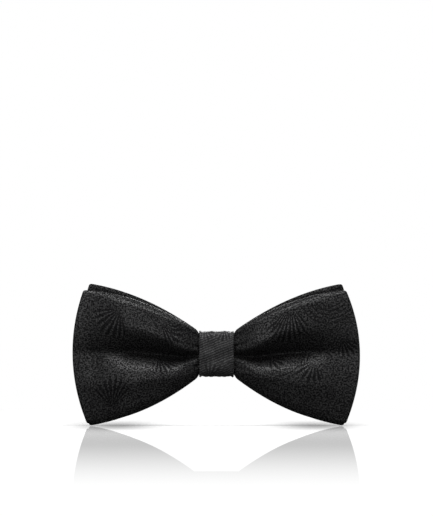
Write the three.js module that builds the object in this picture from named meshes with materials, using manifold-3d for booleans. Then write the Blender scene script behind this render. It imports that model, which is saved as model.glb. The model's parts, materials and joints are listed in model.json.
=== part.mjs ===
// Pre-tied bow tie with an adjustable neckband, in millimetres, +Z up.
// The bow stands on its lower corners and faces -Y. The neckband is an open ring behind it,
// unfastened, with the hook just short of the eye.
import * as THREE from "three";
import { mergeVertices } from "three/addons/utils/BufferGeometryUtils.js";
import Module from "manifold-3d";

const wasm = await Module();
wasm.setup();

// ---- Driving dimensions ----
const BOW_HEIGHT = 59.4; // lower corner to upper corner of the rear bow
const WING_BULGE = 60; // centre line to the fullest point of a wing's outer edge
const LAYER = 0.5; // one layer of cloth or interlining
const LAYER_PITCH = 0.9; // from one layer of the bows to the next
const GAP = 0.3; // air between neighbouring pieces
const BOW_GAP = 0.3; // further air between the front bow and the rear bow
const CROWN = 6.5; // how far the front bow's lobes swell forward
const BACK_CROWN = 3.2; // how far the rear bow swells backward

const KNOT_WIDTH = 14.8; // along X
const KNOT_TOP = 39.4;
const KNOT_BOTTOM = 20.5;
const KNOT_FRONT = -3;
const KNOT_BACK = 10.8;
const WRAP = 0.8; // cloth of the wrap
const KNOT_LINING = 0.5;
const THREAD = 0.8;
const WRAP_CORNER = 2.2;
const LINING_CORNER = 1.3;
const THREAD_CORNER = 1;
const THREAD_WIDTH = 1.6; // the wound thread along X
const PINCH_TOP = 36.4; // height of the bows where the thread gathers them
const PINCH_BOTTOM = 23.5;
const PINCH_HALF = 7.8; // half the length of the pinched stretch

const BAND_HEIGHT = 15;
const BAND_THICK = 1.8;
const BAND_WALL = 0.4; // cloth of the folded band
const BAND_Y = 7.8; // mid-line of the band inside the knot
const BAND_Z = 30; // mid-height of the band
const RING_HALF = 48; // mid-line of the band's sides
const FRONT_RADIUS = 30; // bend of the band behind each wing
const RING_BACK = 112; // where the rear half circle starts
const HINGE_GAP = 2.1; // between the two nose centres at each flex line

const SLIDER_Y = 70; // middle of the slider, at the longest setting
const SLIDER_LENGTH = 10.4;
const PLATE_HEIGHT = 18.6; // height of the slider
const PLATE = 1.1; // thickness of the metal parts
const BAR = 1.2; // bars of the metal parts
const EYE_Y = 84; // axis of the eye's bar
const HOOK_Y = 107.4; // axis of the hook's bar
const FITTING_LENGTH = 10.4; // bar axis to tip of the hook and of the eye
const FITTING_HEIGHT = 18;
const RUN_START = 52; // where the sliding run of the band begins
const TAB_HALF = 2.1; // half thickness of a sewn loop
const TAB_BACK = 5.8; // from the bar's axis back to the loop's square end
const TAB_HOLE_HALF = 1.15; // room for the bar inside a loop
const TAB_HOLE_BACK = 1.6;
const RETURN_THICK = 1.0;
const RAIL = 1.1; // top and bottom rails of the hook's and the eye's frame
const FRAME_SLOT = 3.1; // from a fitting's bar axis to the far side of its band slot
const CATCH = { near: 4.8, far: 8.2, half: 3.6 }; // the eye's slot for the hook, from the bar's axis
const TONGUE_WIDTH = 6;
const TONGUE_TURN = { outer: 1.6, inner: 0.7 }; // radii of the hook's turned tip

const FRONT_OF_HINGE = BAND_Y + FRONT_RADIUS;

// ---- Materials ----
const cloth = new THREE.MeshStandardMaterial({ color: 0x1c1c1e, roughness: 0.62, metalness: 0 });
const lining = new THREE.MeshStandardMaterial({ color: 0xd8d4c8, roughness: 0.9, metalness: 0 });
const thread = new THREE.MeshStandardMaterial({ color: 0x101012, roughness: 0.7, metalness: 0 });
const metal = new THREE.MeshStandardMaterial({ color: 0xb9bcc0, roughness: 0.28, metalness: 1 });

// ---- Solids: closed meshes joined and cut ----
function solid(geometry) {
  const bare = geometry.index ? geometry.toNonIndexed() : geometry.clone();
  for (const name of Object.keys(bare.attributes)) {
    if (name !== "position") bare.deleteAttribute(name);
  }
  const merged = mergeVertices(bare, 1e-4);
  const mesh = new wasm.Mesh({
    numProp: 3,
    vertProperties: new Float32Array(merged.attributes.position.array),
    triVerts: new Uint32Array(merged.index.array),
  });
  return new wasm.Manifold(mesh);
}

function fromSolid(made) {
  const mesh = made.getMesh();
  const geometry = new THREE.BufferGeometry();
  geometry.setAttribute("position", new THREE.BufferAttribute(mesh.vertProperties, 3));
  geometry.setIndex(new THREE.BufferAttribute(mesh.triVerts, 1));
  return geometry;
}

function joined(...geometries) {
  return fromSolid(geometries.map(solid).reduce((sum, next) => sum.add(next)));
}

function cut(body, ...tools) {
  return fromSolid(tools.map(solid).reduce((rest, tool) => rest.subtract(tool), solid(body)));
}

function box(x, y, z) {
  const [width, depth, height] = [x[1] - x[0], y[1] - y[0], z[1] - z[0]];
  const geometry = new THREE.BoxGeometry(width, depth, height);
  return geometry.translate((x[0] + x[1]) / 2, (y[0] + y[1]) / 2, (z[0] + z[1]) / 2);
}

// Points of an outline, counter-clockwise, without the doubled ones where an arc meets a line.
function cleanPoints(path, curveSegments) {
  const all = path.getPoints(curveSegments);
  const points = all.filter((p, i) => p.distanceTo(all[(i + 1) % all.length]) > 1e-3);
  return THREE.ShapeUtils.isClockWise(points) ? points.reverse() : points;
}

// A flat outline, with its holes, extruded along Z from zero to height.
function prism(shape, height, curveSegments = 8) {
  const outline = new THREE.Shape(cleanPoints(shape, curveSegments));
  outline.holes = shape.holes.map((hole) => new THREE.Path(cleanPoints(hole, curveSegments)));
  return new THREE.ExtrudeGeometry(outline, { depth: height, bevelEnabled: false });
}

function mesh(name, geometry, material) {
  const made = new THREE.Mesh(geometry, material);
  made.name = name;
  return made;
}

// ---- The bows: bent sheets ----
const smooth = (from, to, x) => THREE.MathUtils.smoothstep(x, from, to);
const lerp = THREE.MathUtils.lerp;

// Distances from the centre line at which the sheets bend.
const STATIONS = [0, 4.5, PINCH_HALF, 9.6, 13, 18, 24, 31, 39, 48, WING_BULGE];
const ROWS = 8;

// Outline of each bow: corners, the fullness of the outer edge and the curve of the long edges.
const FRONT = { bottomX: 54, topX: 55.5, bulge: 5.3, bottomZ: 0.9, topZ: 56.7, curve: 1.85 };
const REAR = { bottomX: 53, topX: 53, bulge: 5, bottomZ: 0, topZ: BOW_HEIGHT, curve: 1.64 };
const ROOT_TOP = 39.5; // long edges where they leave the knot
const ROOT_BOTTOM = 20.4;

function longEdge(x, pinched, root, corner, cornerX, curve) {
  const t = Math.max(0, (x - PINCH_HALF) / (cornerX - PINCH_HALF));
  const open = root + (corner - root) * t * (curve - (curve - 1) * t);
  return lerp(pinched, open, smooth(PINCH_HALF, PINCH_HALF + 1.6, x));
}

const grooveHeight = (x) => lerp(0.42, 0.55, smooth(9, 32, x));

// A point of the sheet. station is the distance from the centre along the middle, row runs from
// 0 at the lower edge to 1 at the upper, and depth from 0 at the front sheet to 1 at the last.
function bowPoint(outline, station, row, depth) {
  const fold = grooveHeight(station);
  const v = row < 0.5 ? fold * row * 2 : fold + (1 - fold) * (row - 0.5) * 2;
  const edge = lerp(outline.bottomX, outline.topX, v) + outline.bulge * 4 * v * (1 - v);
  const x = station - (WING_BULGE - edge) * (station / WING_BULGE) ** 3;
  const bottomCorner = [ROOT_BOTTOM, outline.bottomZ, outline.bottomX, outline.curve];
  const topCorner = [ROOT_TOP, outline.topZ, outline.topX, outline.curve];
  const low = longEdge(Math.min(x, outline.bottomX), PINCH_BOTTOM, ...bottomCorner);
  const high = longEdge(Math.min(x, outline.topX), PINCH_TOP, ...topCorner);
  const full = (4 * v * (1 - v)) ** 0.7;
  const swell = CROWN * smooth(PINCH_HALF, 24, x) * (1 - 0.6 * smooth(30, 62, x));
  const pleat = Math.exp(-(((v - fold) / 0.13) ** 2)) * (1 - smooth(18, 50, x));
  const front = -swell * full * (1 - 0.95 * pleat);
  const back = BACK_CROWN * full * smooth(20, 48, x);
  return new THREE.Vector3(x, lerp(front, back, depth), lerp(low, high, v));
}

// Sheet number index, counted from the front: a box bent onto the bow's surface. inset stops it
// short of its outline by a share of the outermost grid cells.
function bowSheet(outline, index, inset = 0) {
  const last = STATIONS.length - 1;
  const geometry = new THREE.BoxGeometry(2 * last, 1, ROWS, 2 * last, 1, ROWS);
  const position = geometry.getAttribute("position");
  const start = index * LAYER_PITCH + (outline === REAR ? BOW_GAP : 0);
  const at = (column, row) => bowPoint(outline, STATIONS[column], row / ROWS, index / 5);
  for (let i = 0; i < position.count; i++) {
    const column = Math.round(position.getX(i));
    const across = Math.min(Math.abs(column), last - inset);
    const up = THREE.MathUtils.clamp(Math.round(position.getZ(i) + ROWS / 2), inset, ROWS - inset);
    const [left, low] = [Math.floor(across), Math.floor(up)];
    const [right, high] = [Math.ceil(across), Math.ceil(up)];
    const lower = at(left, low).lerp(at(right, low), across - left);
    const upper = at(left, high).lerp(at(right, high), across - left);
    const point = lower.lerp(upper, up - low);
    const through = position.getY(i) > 0 ? LAYER : 0;
    position.setXYZ(i, Math.sign(column) * point.x, point.y + start + through, point.z);
  }
  return geometry;
}

const bow = new THREE.Group();
const INSET = 0.3; // the interlinings stop short of the folded edges
bow.add(mesh("front_bow_face", bowSheet(FRONT, 0), cloth));
bow.add(mesh("front_bow_interlining", bowSheet(FRONT, 1, INSET), lining));
bow.add(mesh("front_bow_back", bowSheet(FRONT, 2), cloth));
bow.add(mesh("rear_bow_face", bowSheet(REAR, 3), cloth));
bow.add(mesh("rear_bow_interlining", bowSheet(REAR, 4, INSET), lining));
bow.add(mesh("rear_bow_back", bowSheet(REAR, 5), cloth));

// ---- The knot: closed bands round the X axis ----
function roundedRectangle(front, back, bottom, top, radius) {
  const shape = new THREE.Shape();
  shape.moveTo(front + radius, bottom);
  shape.lineTo(back - radius, bottom);
  shape.absarc(back - radius, bottom + radius, radius, -Math.PI / 2, 0);
  shape.lineTo(back, top - radius);
  shape.absarc(back - radius, top - radius, radius, 0, Math.PI / 2);
  shape.lineTo(front + radius, top);
  shape.absarc(front + radius, top - radius, radius, Math.PI / 2, Math.PI);
  shape.lineTo(front, bottom + radius);
  shape.absarc(front + radius, bottom + radius, radius, Math.PI, Math.PI * 1.5);
  return shape;
}

// A closed band of the given width along X; outside is [front, back, bottom, top, radius].
function hoop(outside, thickness, width) {
  const [front, back, bottom, top, radius] = outside;
  const shape = roundedRectangle(front, back, bottom, top, radius);
  const inner = [front + thickness, back - thickness, bottom + thickness, top - thickness];
  shape.holes.push(roundedRectangle(...inner, Math.max(radius - thickness, 0.2)));
  const geometry = prism(shape, width, 5);
  // The outline is drawn in (Y, Z) and extruded along X.
  const turn = new THREE.Matrix4().makeBasis(
    new THREE.Vector3(0, 1, 0),
    new THREE.Vector3(0, 0, 1),
    new THREE.Vector3(1, 0, 0),
  );
  return geometry.applyMatrix4(turn).translate(-width / 2, 0, 0);
}

const knot = new THREE.Group();
const wrapOutside = [KNOT_FRONT, KNOT_BACK, KNOT_BOTTOM, KNOT_TOP, WRAP_CORNER];
const within = WRAP + GAP;
const liningOutside = [
  KNOT_FRONT + within,
  KNOT_BACK - within,
  KNOT_BOTTOM + within,
  KNOT_TOP - within,
  LINING_CORNER,
];
const stackDepth = 5 * LAYER_PITCH + LAYER + BOW_GAP;
const threadReach = GAP + THREAD;
const threadOutside = [
  -threadReach,
  stackDepth + threadReach,
  PINCH_BOTTOM - threadReach,
  PINCH_TOP + threadReach,
  THREAD_CORNER,
];
knot.add(mesh("knot_wrap", hoop(wrapOutside, WRAP, KNOT_WIDTH), cloth));
knot.add(mesh("knot_interlining", hoop(liningOutside, KNOT_LINING, KNOT_WIDTH - 1), lining));
knot.add(mesh("gather_thread", hoop(threadOutside, THREAD, THREAD_WIDTH), thread));

// Zigzag hand stitches that close the wrap behind, as one thread.
function zigzag(x, y, [low, high], count, amplitude, radius) {
  const points = [];
  for (let i = 0; i <= count; i++) {
    const z = lerp(low, high, i / count);
    points.push(new THREE.Vector3(x + (i % 2 ? amplitude : -amplitude), y, z));
  }
  const section = new THREE.Shape().absarc(0, 0, radius, 0, Math.PI * 2);
  const curve = new THREE.CatmullRomCurve3(points, false, "centripetal");
  const options = { steps: count * 3, extrudePath: curve, curveSegments: 3, bevelEnabled: false };
  return new THREE.ExtrudeGeometry(section, options);
}

const SEAM_X = 4.6; // the wrap's lapped end
const SEAM_Z = [23, 37];
const STITCH_RADIUS = 0.22;
const stitchY = KNOT_BACK + GAP + STITCH_RADIUS + 0.03;
knot.add(mesh("knot_back_stitches", zigzag(SEAM_X, stitchY, SEAM_Z, 10, 0.9, STITCH_RADIUS), thread));

// ---- The neckband: upright strips that follow a path seen from above ----
// Both offsets of a path as one closed outline, with half-round noses where asked.
function stripOutline(points, half, noseStart, noseEnd) {
  const left = [];
  const right = [];
  const along = points.map((p, i) => {
    const before = points[Math.max(i - 1, 0)];
    const after = points[Math.min(i + 1, points.length - 1)];
    return after.clone().sub(before).normalize();
  });
  points.forEach((p, i) => {
    const across = new THREE.Vector2(-along[i].y, along[i].x).multiplyScalar(half);
    left.push(p.clone().add(across));
    right.push(p.clone().sub(across));
  });
  const nose = (centre, direction) => {
    const start = Math.atan2(direction.y, direction.x) + Math.PI / 2;
    const arc = [];
    for (let i = 1; i < 6; i++) {
      const angle = start - (Math.PI * i) / 6;
      arc.push(new THREE.Vector2(Math.cos(angle), Math.sin(angle)).multiplyScalar(half).add(centre));
    }
    return arc;
  };
  const last = points.length - 1;
  const endNose = noseEnd ? nose(points[last], along[last]) : [];
  const startNose = noseStart ? nose(points[0], along[0].clone().negate()) : [];
  return new THREE.Shape([...left, ...endNose, ...right.reverse(), ...startNose].reverse());
}

function strip(points, thickness, height, noseStart = false, noseEnd = false) {
  const shape = stripOutline(points, thickness / 2, noseStart, noseEnd);
  return prism(shape, height).translate(0, 0, BAND_Z - height / 2);
}

function lengthened(points, extra) {
  const last = points.length - 1;
  const before = points[0].clone().sub(points[1]).setLength(extra).add(points[0]);
  const after = points[last].clone().sub(points[last - 1]).setLength(extra).add(points[last]);
  return [before, ...points, after];
}

// A folded band: a flat sleeve of cloth that is open at both ends.
function sleeve(points, noseStart, noseEnd) {
  const outer = strip(points, BAND_THICK, BAND_HEIGHT, noseStart, noseEnd);
  const inside = [BAND_THICK - 2 * BAND_WALL, BAND_HEIGHT - 2 * BAND_WALL];
  return cut(outer, strip(lengthened(points, BAND_THICK), ...inside));
}

function bandLining(points) {
  const used = 2 * (BAND_WALL + GAP);
  return strip(points, BAND_THICK - used, BAND_HEIGHT - used);
}

function arc(centreX, centreY, radius, from, to, steps) {
  const points = [];
  for (let i = 0; i <= steps; i++) {
    const angle = lerp(from, to, i / steps);
    const x = centreX + radius * Math.cos(angle);
    points.push(new THREE.Vector2(x, centreY + radius * Math.sin(angle)));
  }
  return points;
}

const bend = RING_HALF - FRONT_RADIUS;
const centrePath = [
  ...arc(-bend, FRONT_OF_HINGE, FRONT_RADIUS, Math.PI, Math.PI * 1.5, 10),
  ...arc(bend, FRONT_OF_HINGE, FRONT_RADIUS, -Math.PI / 2, 0, 10),
];
// The half circle's last point gives way to the end of the hook's loop.
const leftPath = [
  new THREE.Vector2(-RING_HALF, FRONT_OF_HINGE + HINGE_GAP),
  ...arc(0, RING_BACK, RING_HALF, Math.PI, 0, 26).slice(0, -1),
  new THREE.Vector2(RING_HALF, HOOK_Y + TAB_BACK + GAP),
];
const rightPath = [
  new THREE.Vector2(RING_HALF, FRONT_OF_HINGE + HINGE_GAP),
  new THREE.Vector2(RING_HALF, RUN_START - GAP),
];

const neckband = new THREE.Group();
neckband.add(mesh("neckband_centre", sleeve(centrePath, true, true), cloth));
neckband.add(mesh("neckband_centre_interlining", bandLining(centrePath), lining));
neckband.add(mesh("left_band", sleeve(leftPath, true, false), cloth));
neckband.add(mesh("left_band_interlining", bandLining(leftPath), lining));
neckband.add(mesh("right_band", sleeve(rightPath, true, false), cloth));
neckband.add(mesh("right_band_interlining", bandLining(rightPath), lining));

// A sewn loop of band round a metal bar at (x, y). toward is +1 when the bar end faces +Y.
function loopTab(x, y, toward) {
  const shape = new THREE.Shape();
  shape.moveTo(x - TAB_HALF, y - toward * TAB_BACK);
  shape.lineTo(x - TAB_HALF, y);
  shape.absarc(x, y, TAB_HALF, Math.PI, 0, toward > 0);
  shape.lineTo(x + TAB_HALF, y - toward * TAB_BACK);
  const hole = new THREE.Path();
  const back = y - toward * TAB_HOLE_BACK;
  hole.moveTo(x - TAB_HOLE_HALF, back);
  hole.lineTo(x - TAB_HOLE_HALF, y);
  hole.absarc(x, y, TAB_HOLE_HALF, Math.PI, 0, toward > 0);
  hole.lineTo(x + TAB_HOLE_HALF, back);
  shape.holes.push(hole);
  return prism(shape, BAND_HEIGHT).translate(0, 0, bandBottom);
}

const EYE_X = RING_HALF - 0.7; // the eye loop holds the main layer and the returned layer
const bandTop = BAND_Z + BAND_HEIGHT / 2;
const bandBottom = BAND_Z - BAND_HEIGHT / 2;
const mainInside = RING_HALF - BAND_THICK / 2;
const returnOutside = mainInside - GAP - 0.1;
const runEnd = EYE_Y - TAB_BACK - GAP;

const run = strip(
  [new THREE.Vector2(RING_HALF, RUN_START), new THREE.Vector2(RING_HALF, runEnd)],
  BAND_THICK,
  BAND_HEIGHT,
);
const returned = box(
  [returnOutside - RETURN_THICK, returnOutside],
  [SLIDER_Y - 1, runEnd],
  [bandBottom, bandTop],
);
neckband.add(mesh("hook_loop", loopTab(RING_HALF, HOOK_Y, -1), cloth));
neckband.add(mesh("eye_loop", loopTab(EYE_X, EYE_Y, 1), cloth));
neckband.add(mesh("band_free_run", run, cloth));
neckband.add(mesh("band_returned_layer", returned, cloth));

// Close rows of machine stitches across each sewn loop, on its outer side.
function tackStitches(x, y) {
  const surface = x + TAB_HALF + GAP;
  return box([surface, surface + 0.4], [y - 0.7, y + 0.7], [bandBottom + 2, bandTop - 2]);
}
const tackOffset = 3.6;
neckband.add(mesh("hook_loop_stitches", tackStitches(RING_HALF, HOOK_Y + tackOffset), thread));
neckband.add(mesh("eye_loop_stitches", tackStitches(EYE_X, EYE_Y - tackOffset), thread));

// The band's hump over the slider's middle bar, drawn from above and extruded upright.
const sliderX = [RING_HALF + BAND_THICK / 2 + GAP, RING_HALF + BAND_THICK / 2 + GAP + PLATE];
function humpOver(y) {
  const inner = sliderX[1] + GAP;
  const rise = 1.0;
  const spread = 2.6;
  const shape = new THREE.Shape();
  shape.moveTo(inner, y - spread);
  shape.quadraticCurveTo(inner + 0.9 * rise, y, inner, y + spread);
  shape.lineTo(inner + 0.5, y + spread);
  shape.quadraticCurveTo(inner + 2.2 * rise, y, inner + 0.5, y - spread);
  return prism(shape, BAND_HEIGHT).translate(0, 0, bandBottom);
}
neckband.add(mesh("band_hump", humpOver(SLIDER_Y), cloth));

// ---- Metal parts ----
function slider() {
  const half = SLIDER_LENGTH / 2;
  const z = [BAND_Z - PLATE_HEIGHT / 2, BAND_Z + PLATE_HEIGHT / 2];
  const plate = box(sliderX, [SLIDER_Y - half, SLIDER_Y + half], z);
  const slotX = [sliderX[0] - 1, sliderX[1] + 1];
  const slotZ = [z[0] + 1.4, z[1] - 1.4];
  const slots = [-1, 1].map((side) => {
    const near = SLIDER_Y + side * (BAR / 2);
    const far = SLIDER_Y + side * (half - BAR);
    return box(slotX, [Math.min(near, far), Math.max(near, far)], slotZ);
  });
  return cut(plate, ...slots);
}

// The frame that a sewn loop holds: a bar, two side rails and a cross plate. ahead is +1 when the
// fitting points along +Y. reach is how far the cross plate goes from the bar's axis.
function fittingFrame(x, y, ahead, reach) {
  const half = FITTING_HEIGHT / 2;
  const outer = [y - ahead * (BAR / 2), y + ahead * reach].sort((a, b) => a - b);
  const inner = [y + ahead * (BAR / 2), y + ahead * FRAME_SLOT].sort((a, b) => a - b);
  const through = [x - PLATE / 2, x + PLATE / 2];
  const plate = box(through, outer, [BAND_Z - half, BAND_Z + half]);
  const open = half - RAIL;
  return cut(plate, box([x - PLATE, x + PLATE], inner, [BAND_Z - open, BAND_Z + open]));
}

function eye() {
  const frame = fittingFrame(EYE_X, EYE_Y, 1, FITTING_LENGTH);
  const catchSlot = box(
    [EYE_X - PLATE, EYE_X + PLATE],
    [EYE_Y + CATCH.near, EYE_Y + CATCH.far],
    [BAND_Z - CATCH.half, BAND_Z + CATCH.half],
  );
  return cut(frame, catchSlot);
}

// The hook's tongue runs on from the frame, turns outward and comes back along itself.
function hook() {
  const frame = fittingFrame(RING_HALF, HOOK_Y, -1, 5);
  const inside = RING_HALF - PLATE / 2;
  const tip = HOOK_Y - FITTING_LENGTH;
  const root = HOOK_Y - 4;
  const { outer, inner } = TONGUE_TURN;
  const innerX = inside + PLATE - 0.1 + inner;
  const innerY = tip + outer + 0.1;
  const shape = new THREE.Shape();
  shape.moveTo(inside, root);
  shape.lineTo(inside, tip + outer);
  shape.absarc(inside + outer, tip + outer, outer, Math.PI, Math.PI * 2);
  shape.lineTo(inside + 2 * outer, tip + 4.4);
  shape.lineTo(innerX + inner, tip + 4.4);
  shape.lineTo(innerX + inner, innerY);
  shape.absarc(innerX, innerY, inner, 0, Math.PI, true);
  shape.lineTo(inside + PLATE, root);
  const tongue = prism(shape, TONGUE_WIDTH).translate(0, 0, BAND_Z - TONGUE_WIDTH / 2);
  return joined(frame, tongue);
}

const fittings = new THREE.Group();
fittings.add(mesh("slider", slider(), metal));
fittings.add(mesh("eye", eye(), metal));
fittings.add(mesh("hook", hook(), metal));

const bowTie = new THREE.Group();
bowTie.add(bow, knot, neckband, fittings);
// The origin lies under the middle of the object's box.
bowTie.position.y = -new THREE.Box3().setFromObject(bowTie, true).getCenter(new THREE.Vector3()).y;

export default bowTie;
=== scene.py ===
"""Looks of a pre-tied bow tie: two pillow-shaped bows of figured satin, a knot and a neckband.

Everything is in metres in the part's own frame: +Z up, the bow faces -Y, the neckband runs back
along +Y. Shapes are worked out in millimetres from the frame's boxes and scaled at the end.
"""

import json
import math

import bmesh
import bpy
import numpy as np
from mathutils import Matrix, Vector


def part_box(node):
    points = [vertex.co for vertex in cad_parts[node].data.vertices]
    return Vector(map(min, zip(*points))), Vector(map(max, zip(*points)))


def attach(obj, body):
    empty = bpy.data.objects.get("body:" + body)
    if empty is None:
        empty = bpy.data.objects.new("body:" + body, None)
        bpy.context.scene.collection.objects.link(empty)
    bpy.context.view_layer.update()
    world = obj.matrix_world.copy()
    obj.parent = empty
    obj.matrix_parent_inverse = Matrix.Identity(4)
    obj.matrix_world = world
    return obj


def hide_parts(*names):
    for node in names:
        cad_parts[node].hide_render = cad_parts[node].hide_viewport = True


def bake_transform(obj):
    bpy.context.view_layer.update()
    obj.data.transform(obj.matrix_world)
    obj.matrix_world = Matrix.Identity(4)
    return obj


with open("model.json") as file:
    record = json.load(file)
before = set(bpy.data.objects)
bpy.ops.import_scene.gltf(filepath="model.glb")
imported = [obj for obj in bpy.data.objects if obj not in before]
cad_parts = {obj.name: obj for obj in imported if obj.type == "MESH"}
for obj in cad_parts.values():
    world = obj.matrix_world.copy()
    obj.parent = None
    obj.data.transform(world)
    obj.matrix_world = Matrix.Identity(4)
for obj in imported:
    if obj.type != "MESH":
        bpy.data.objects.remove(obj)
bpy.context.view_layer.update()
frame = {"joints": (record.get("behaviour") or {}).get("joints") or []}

bl_info = {
    "name": "Bow tie",
    "version": (1, 0, 0),
    "blender": (4, 5, 0),
    "location": "3D View > Sidebar > Bow tie",
    "description": "Builds the cloth, the metal parts and the stage of a pre-tied bow tie",
    "category": "Add Mesh",
}

MM = 0.001
UV_PER_MM = 0.01  # cloth maps hold millimetres of cloth times this


def millimetres(corner):
    return np.array(corner) / MM


def box_of(node):
    """Lowest and highest corner of a node at rest, in millimetres."""
    low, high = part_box(node)
    return millimetres(low), millimetres(high)


# ---- Places, in millimetres, read from the frame ----
FRONT_LOW, FRONT_HIGH = box_of("front_bow_face")
REAR_LOW, REAR_HIGH = box_of("rear_bow_face")
KNOT_LOW, KNOT_HIGH = box_of("knot_wrap")
BAND_LOW, BAND_HIGH = box_of("neckband_centre")
LEFT_HIGH = box_of("left_band")[1]
RUN_LOW, RUN_HIGH = box_of("band_free_run")
RETURN_LOW, RETURN_HIGH = box_of("band_returned_layer")
HOOK_LOOP_LOW, HOOK_LOOP_HIGH = box_of("hook_loop")
EYE_LOOP_LOW, EYE_LOOP_HIGH = box_of("eye_loop")
SLIDER_LOW, SLIDER_HIGH = box_of("slider")
EYE_LOW, EYE_HIGH = box_of("eye")
HOOK_LOW, HOOK_HIGH = box_of("hook")
JOINTS = {joint["name"]: joint for joint in frame["joints"]}

KNOT_HALF = KNOT_HIGH[0]
WING = FRONT_HIGH[0]
BAND_Z = (BAND_LOW[2] + BAND_HIGH[2]) / 2
BAND_HEIGHT = BAND_HIGH[2] - BAND_LOW[2]
BAND_THICK = RUN_HIGH[0] - RUN_LOW[0]
RING_HALF = BAND_HIGH[0] - BAND_THICK / 2
BAND_Y = BAND_LOW[1] + BAND_THICK / 2
HINGE = millimetres(JOINTS["left_band_swing"]["pos_m"])
FRONT_RADIUS = HINGE[1] - BAND_Y
RING_BACK = LEFT_HIGH[1] - BAND_THICK / 2 - RING_HALF
STACK_Y = KNOT_LOW[1] + 3.0  # front of the gathered layers inside the knot
WRAP = 0.8  # cloth of the knot's wrap
KNOT_LINING = 0.5


# ---- Settings a user would change ----
class BowSizes(bpy.types.PropertyGroup):
    lobe: bpy.props.FloatProperty(
        name="Lobe", description="How far the lobes swell forward", default=8.6 * MM,
        unit="LENGTH",
    )
    groove: bpy.props.FloatProperty(
        name="Groove", description="How far the pleat runs back", default=1.0 * MM, unit="LENGTH"
    )
    outer_swell: bpy.props.FloatProperty(
        name="Outer swell", description="Swell near the outer edge", default=2.0 * MM, unit="LENGTH"
    )
    edge: bpy.props.FloatProperty(
        name="Edge", description="Thickness of a bow at its edges", default=1.1 * MM, unit="LENGTH"
    )
    back_swell: bpy.props.FloatProperty(
        name="Back swell", description="Swell of the rear bow's back", default=3.4 * MM,
        unit="LENGTH",
    )


class ClothColours(bpy.types.PropertyGroup):
    ground: bpy.props.FloatVectorProperty(
        name="Ground", description="Satin ground of the cloth", default=(0.046, 0.046, 0.0465),
        size=3, subtype="COLOR",
    )
    figure: bpy.props.FloatVectorProperty(
        name="Figure", description="Matt leaf figure", default=(0.0035, 0.0035, 0.0038),
        size=3, subtype="COLOR",
    )
    band: bpy.props.FloatVectorProperty(
        name="Band", description="Plain satin of the neckband", default=(0.026, 0.026, 0.0265),
        size=3, subtype="COLOR",
    )
    lining: bpy.props.FloatVectorProperty(
        name="Interlining", description="Woven stiffener", default=(0.62, 0.59, 0.52),
        size=3, subtype="COLOR",
    )
    metal: bpy.props.FloatVectorProperty(
        name="Metal", description="Nickel plate", default=(0.68, 0.67, 0.64),
        size=3, subtype="COLOR",
    )


class StageSizes(bpy.types.PropertyGroup):
    distance: bpy.props.FloatProperty(
        name="Camera distance", description="From the bow to the camera", default=4.0, unit="LENGTH"
    )
    picture_height: bpy.props.FloatProperty(
        name="Picture height", description="Height of the picture at the bow",
        default=215.2 * MM, unit="LENGTH",
    )
    above: bpy.props.FloatProperty(
        name="Axis height", description="Height of the camera's axis over the floor",
        default=70.0 * MM, unit="LENGTH",
    )


# ---- Small helpers ----
def select_only(piece):
    """Leaves one object selected and active."""
    bpy.ops.object.select_all(action="DESELECT")
    piece.select_set(True)
    bpy.context.view_layer.objects.active = piece


def named(name):
    """Names the object that was just made, and its mesh."""
    piece = bpy.context.object
    piece.name = name
    piece.data.name = name
    return piece


def settle(piece):
    """Puts the piece's place into its mesh, and leaves the object at the origin."""
    select_only(piece)
    bpy.ops.object.transform_apply(location=True, rotation=True, scale=True)
    return piece


def add_modifier(piece, kind, **settings):
    """Adds a modifier with its settings, and applies it."""
    modifier = piece.modifiers.new(kind.title(), kind)
    for key, value in settings.items():
        setattr(modifier, key, value)
    select_only(piece)
    bpy.ops.object.modifier_apply(modifier=modifier.name)


def coordinates(piece):
    """Each vertex of the piece, in metres."""
    flat = np.zeros(len(piece.data.vertices) * 3, np.float32)
    piece.data.vertices.foreach_get("co", flat)
    return flat.reshape(-1, 3).astype(float)


def place(piece, points):
    """Moves each vertex of the piece, in metres."""
    piece.data.vertices.foreach_set("co", np.asarray(points, np.float32).ravel())
    piece.data.update()


def face_outwards(piece):
    """Merges doubles and turns all faces outwards."""
    select_only(piece)
    bpy.ops.object.mode_set(mode="EDIT")
    bpy.ops.mesh.select_all(action="SELECT")
    bpy.ops.mesh.remove_doubles(threshold=1e-6)
    bpy.ops.mesh.normals_make_consistent(inside=False)
    bpy.ops.object.mode_set(mode="OBJECT")


def smooth_shaded(piece, angle=None):
    """Shades the piece smooth, or only over edges flatter than an angle in degrees."""
    select_only(piece)
    if angle is None:
        bpy.ops.object.shade_smooth()
    else:
        bpy.ops.object.shade_smooth_by_angle(angle=math.radians(angle))


def write_map(piece, u, v):
    """Gives each vertex its place on the cloth, in millimetres."""
    layers = piece.data.uv_layers
    while layers:
        layers.remove(layers[0])
    layer = layers.new(name="cloth")
    index = np.zeros(len(piece.data.loops), np.int32)
    piece.data.loops.foreach_get("vertex_index", index)
    pairs = np.stack([u[index], v[index]], axis=1) * UV_PER_MM
    layer.data.foreach_set("uv", pairs.astype(np.float32).ravel())


def finish_piece(piece, material, body, slot, *nodes):
    """Gives a piece its material and its body unless it is blended, and hides the nodes it stands
    for. slot is not used.
    """
    piece.data.materials.clear()
    piece.data.materials.append(bpy.data.materials[material])
    if body:
        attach(piece, body)
    if nodes:
        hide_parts(*nodes)
    return piece


def smoothstep(low, high, x):
    """0 below low, 1 above high, and a smooth rise between."""
    t = np.clip((x - low) / (high - low), 0, 1)
    return t * t * (3 - 2 * t)


def mix(a, b, t):
    """From a, where t is 0, to b, where t is 1."""
    return a + (b - a) * t


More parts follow.
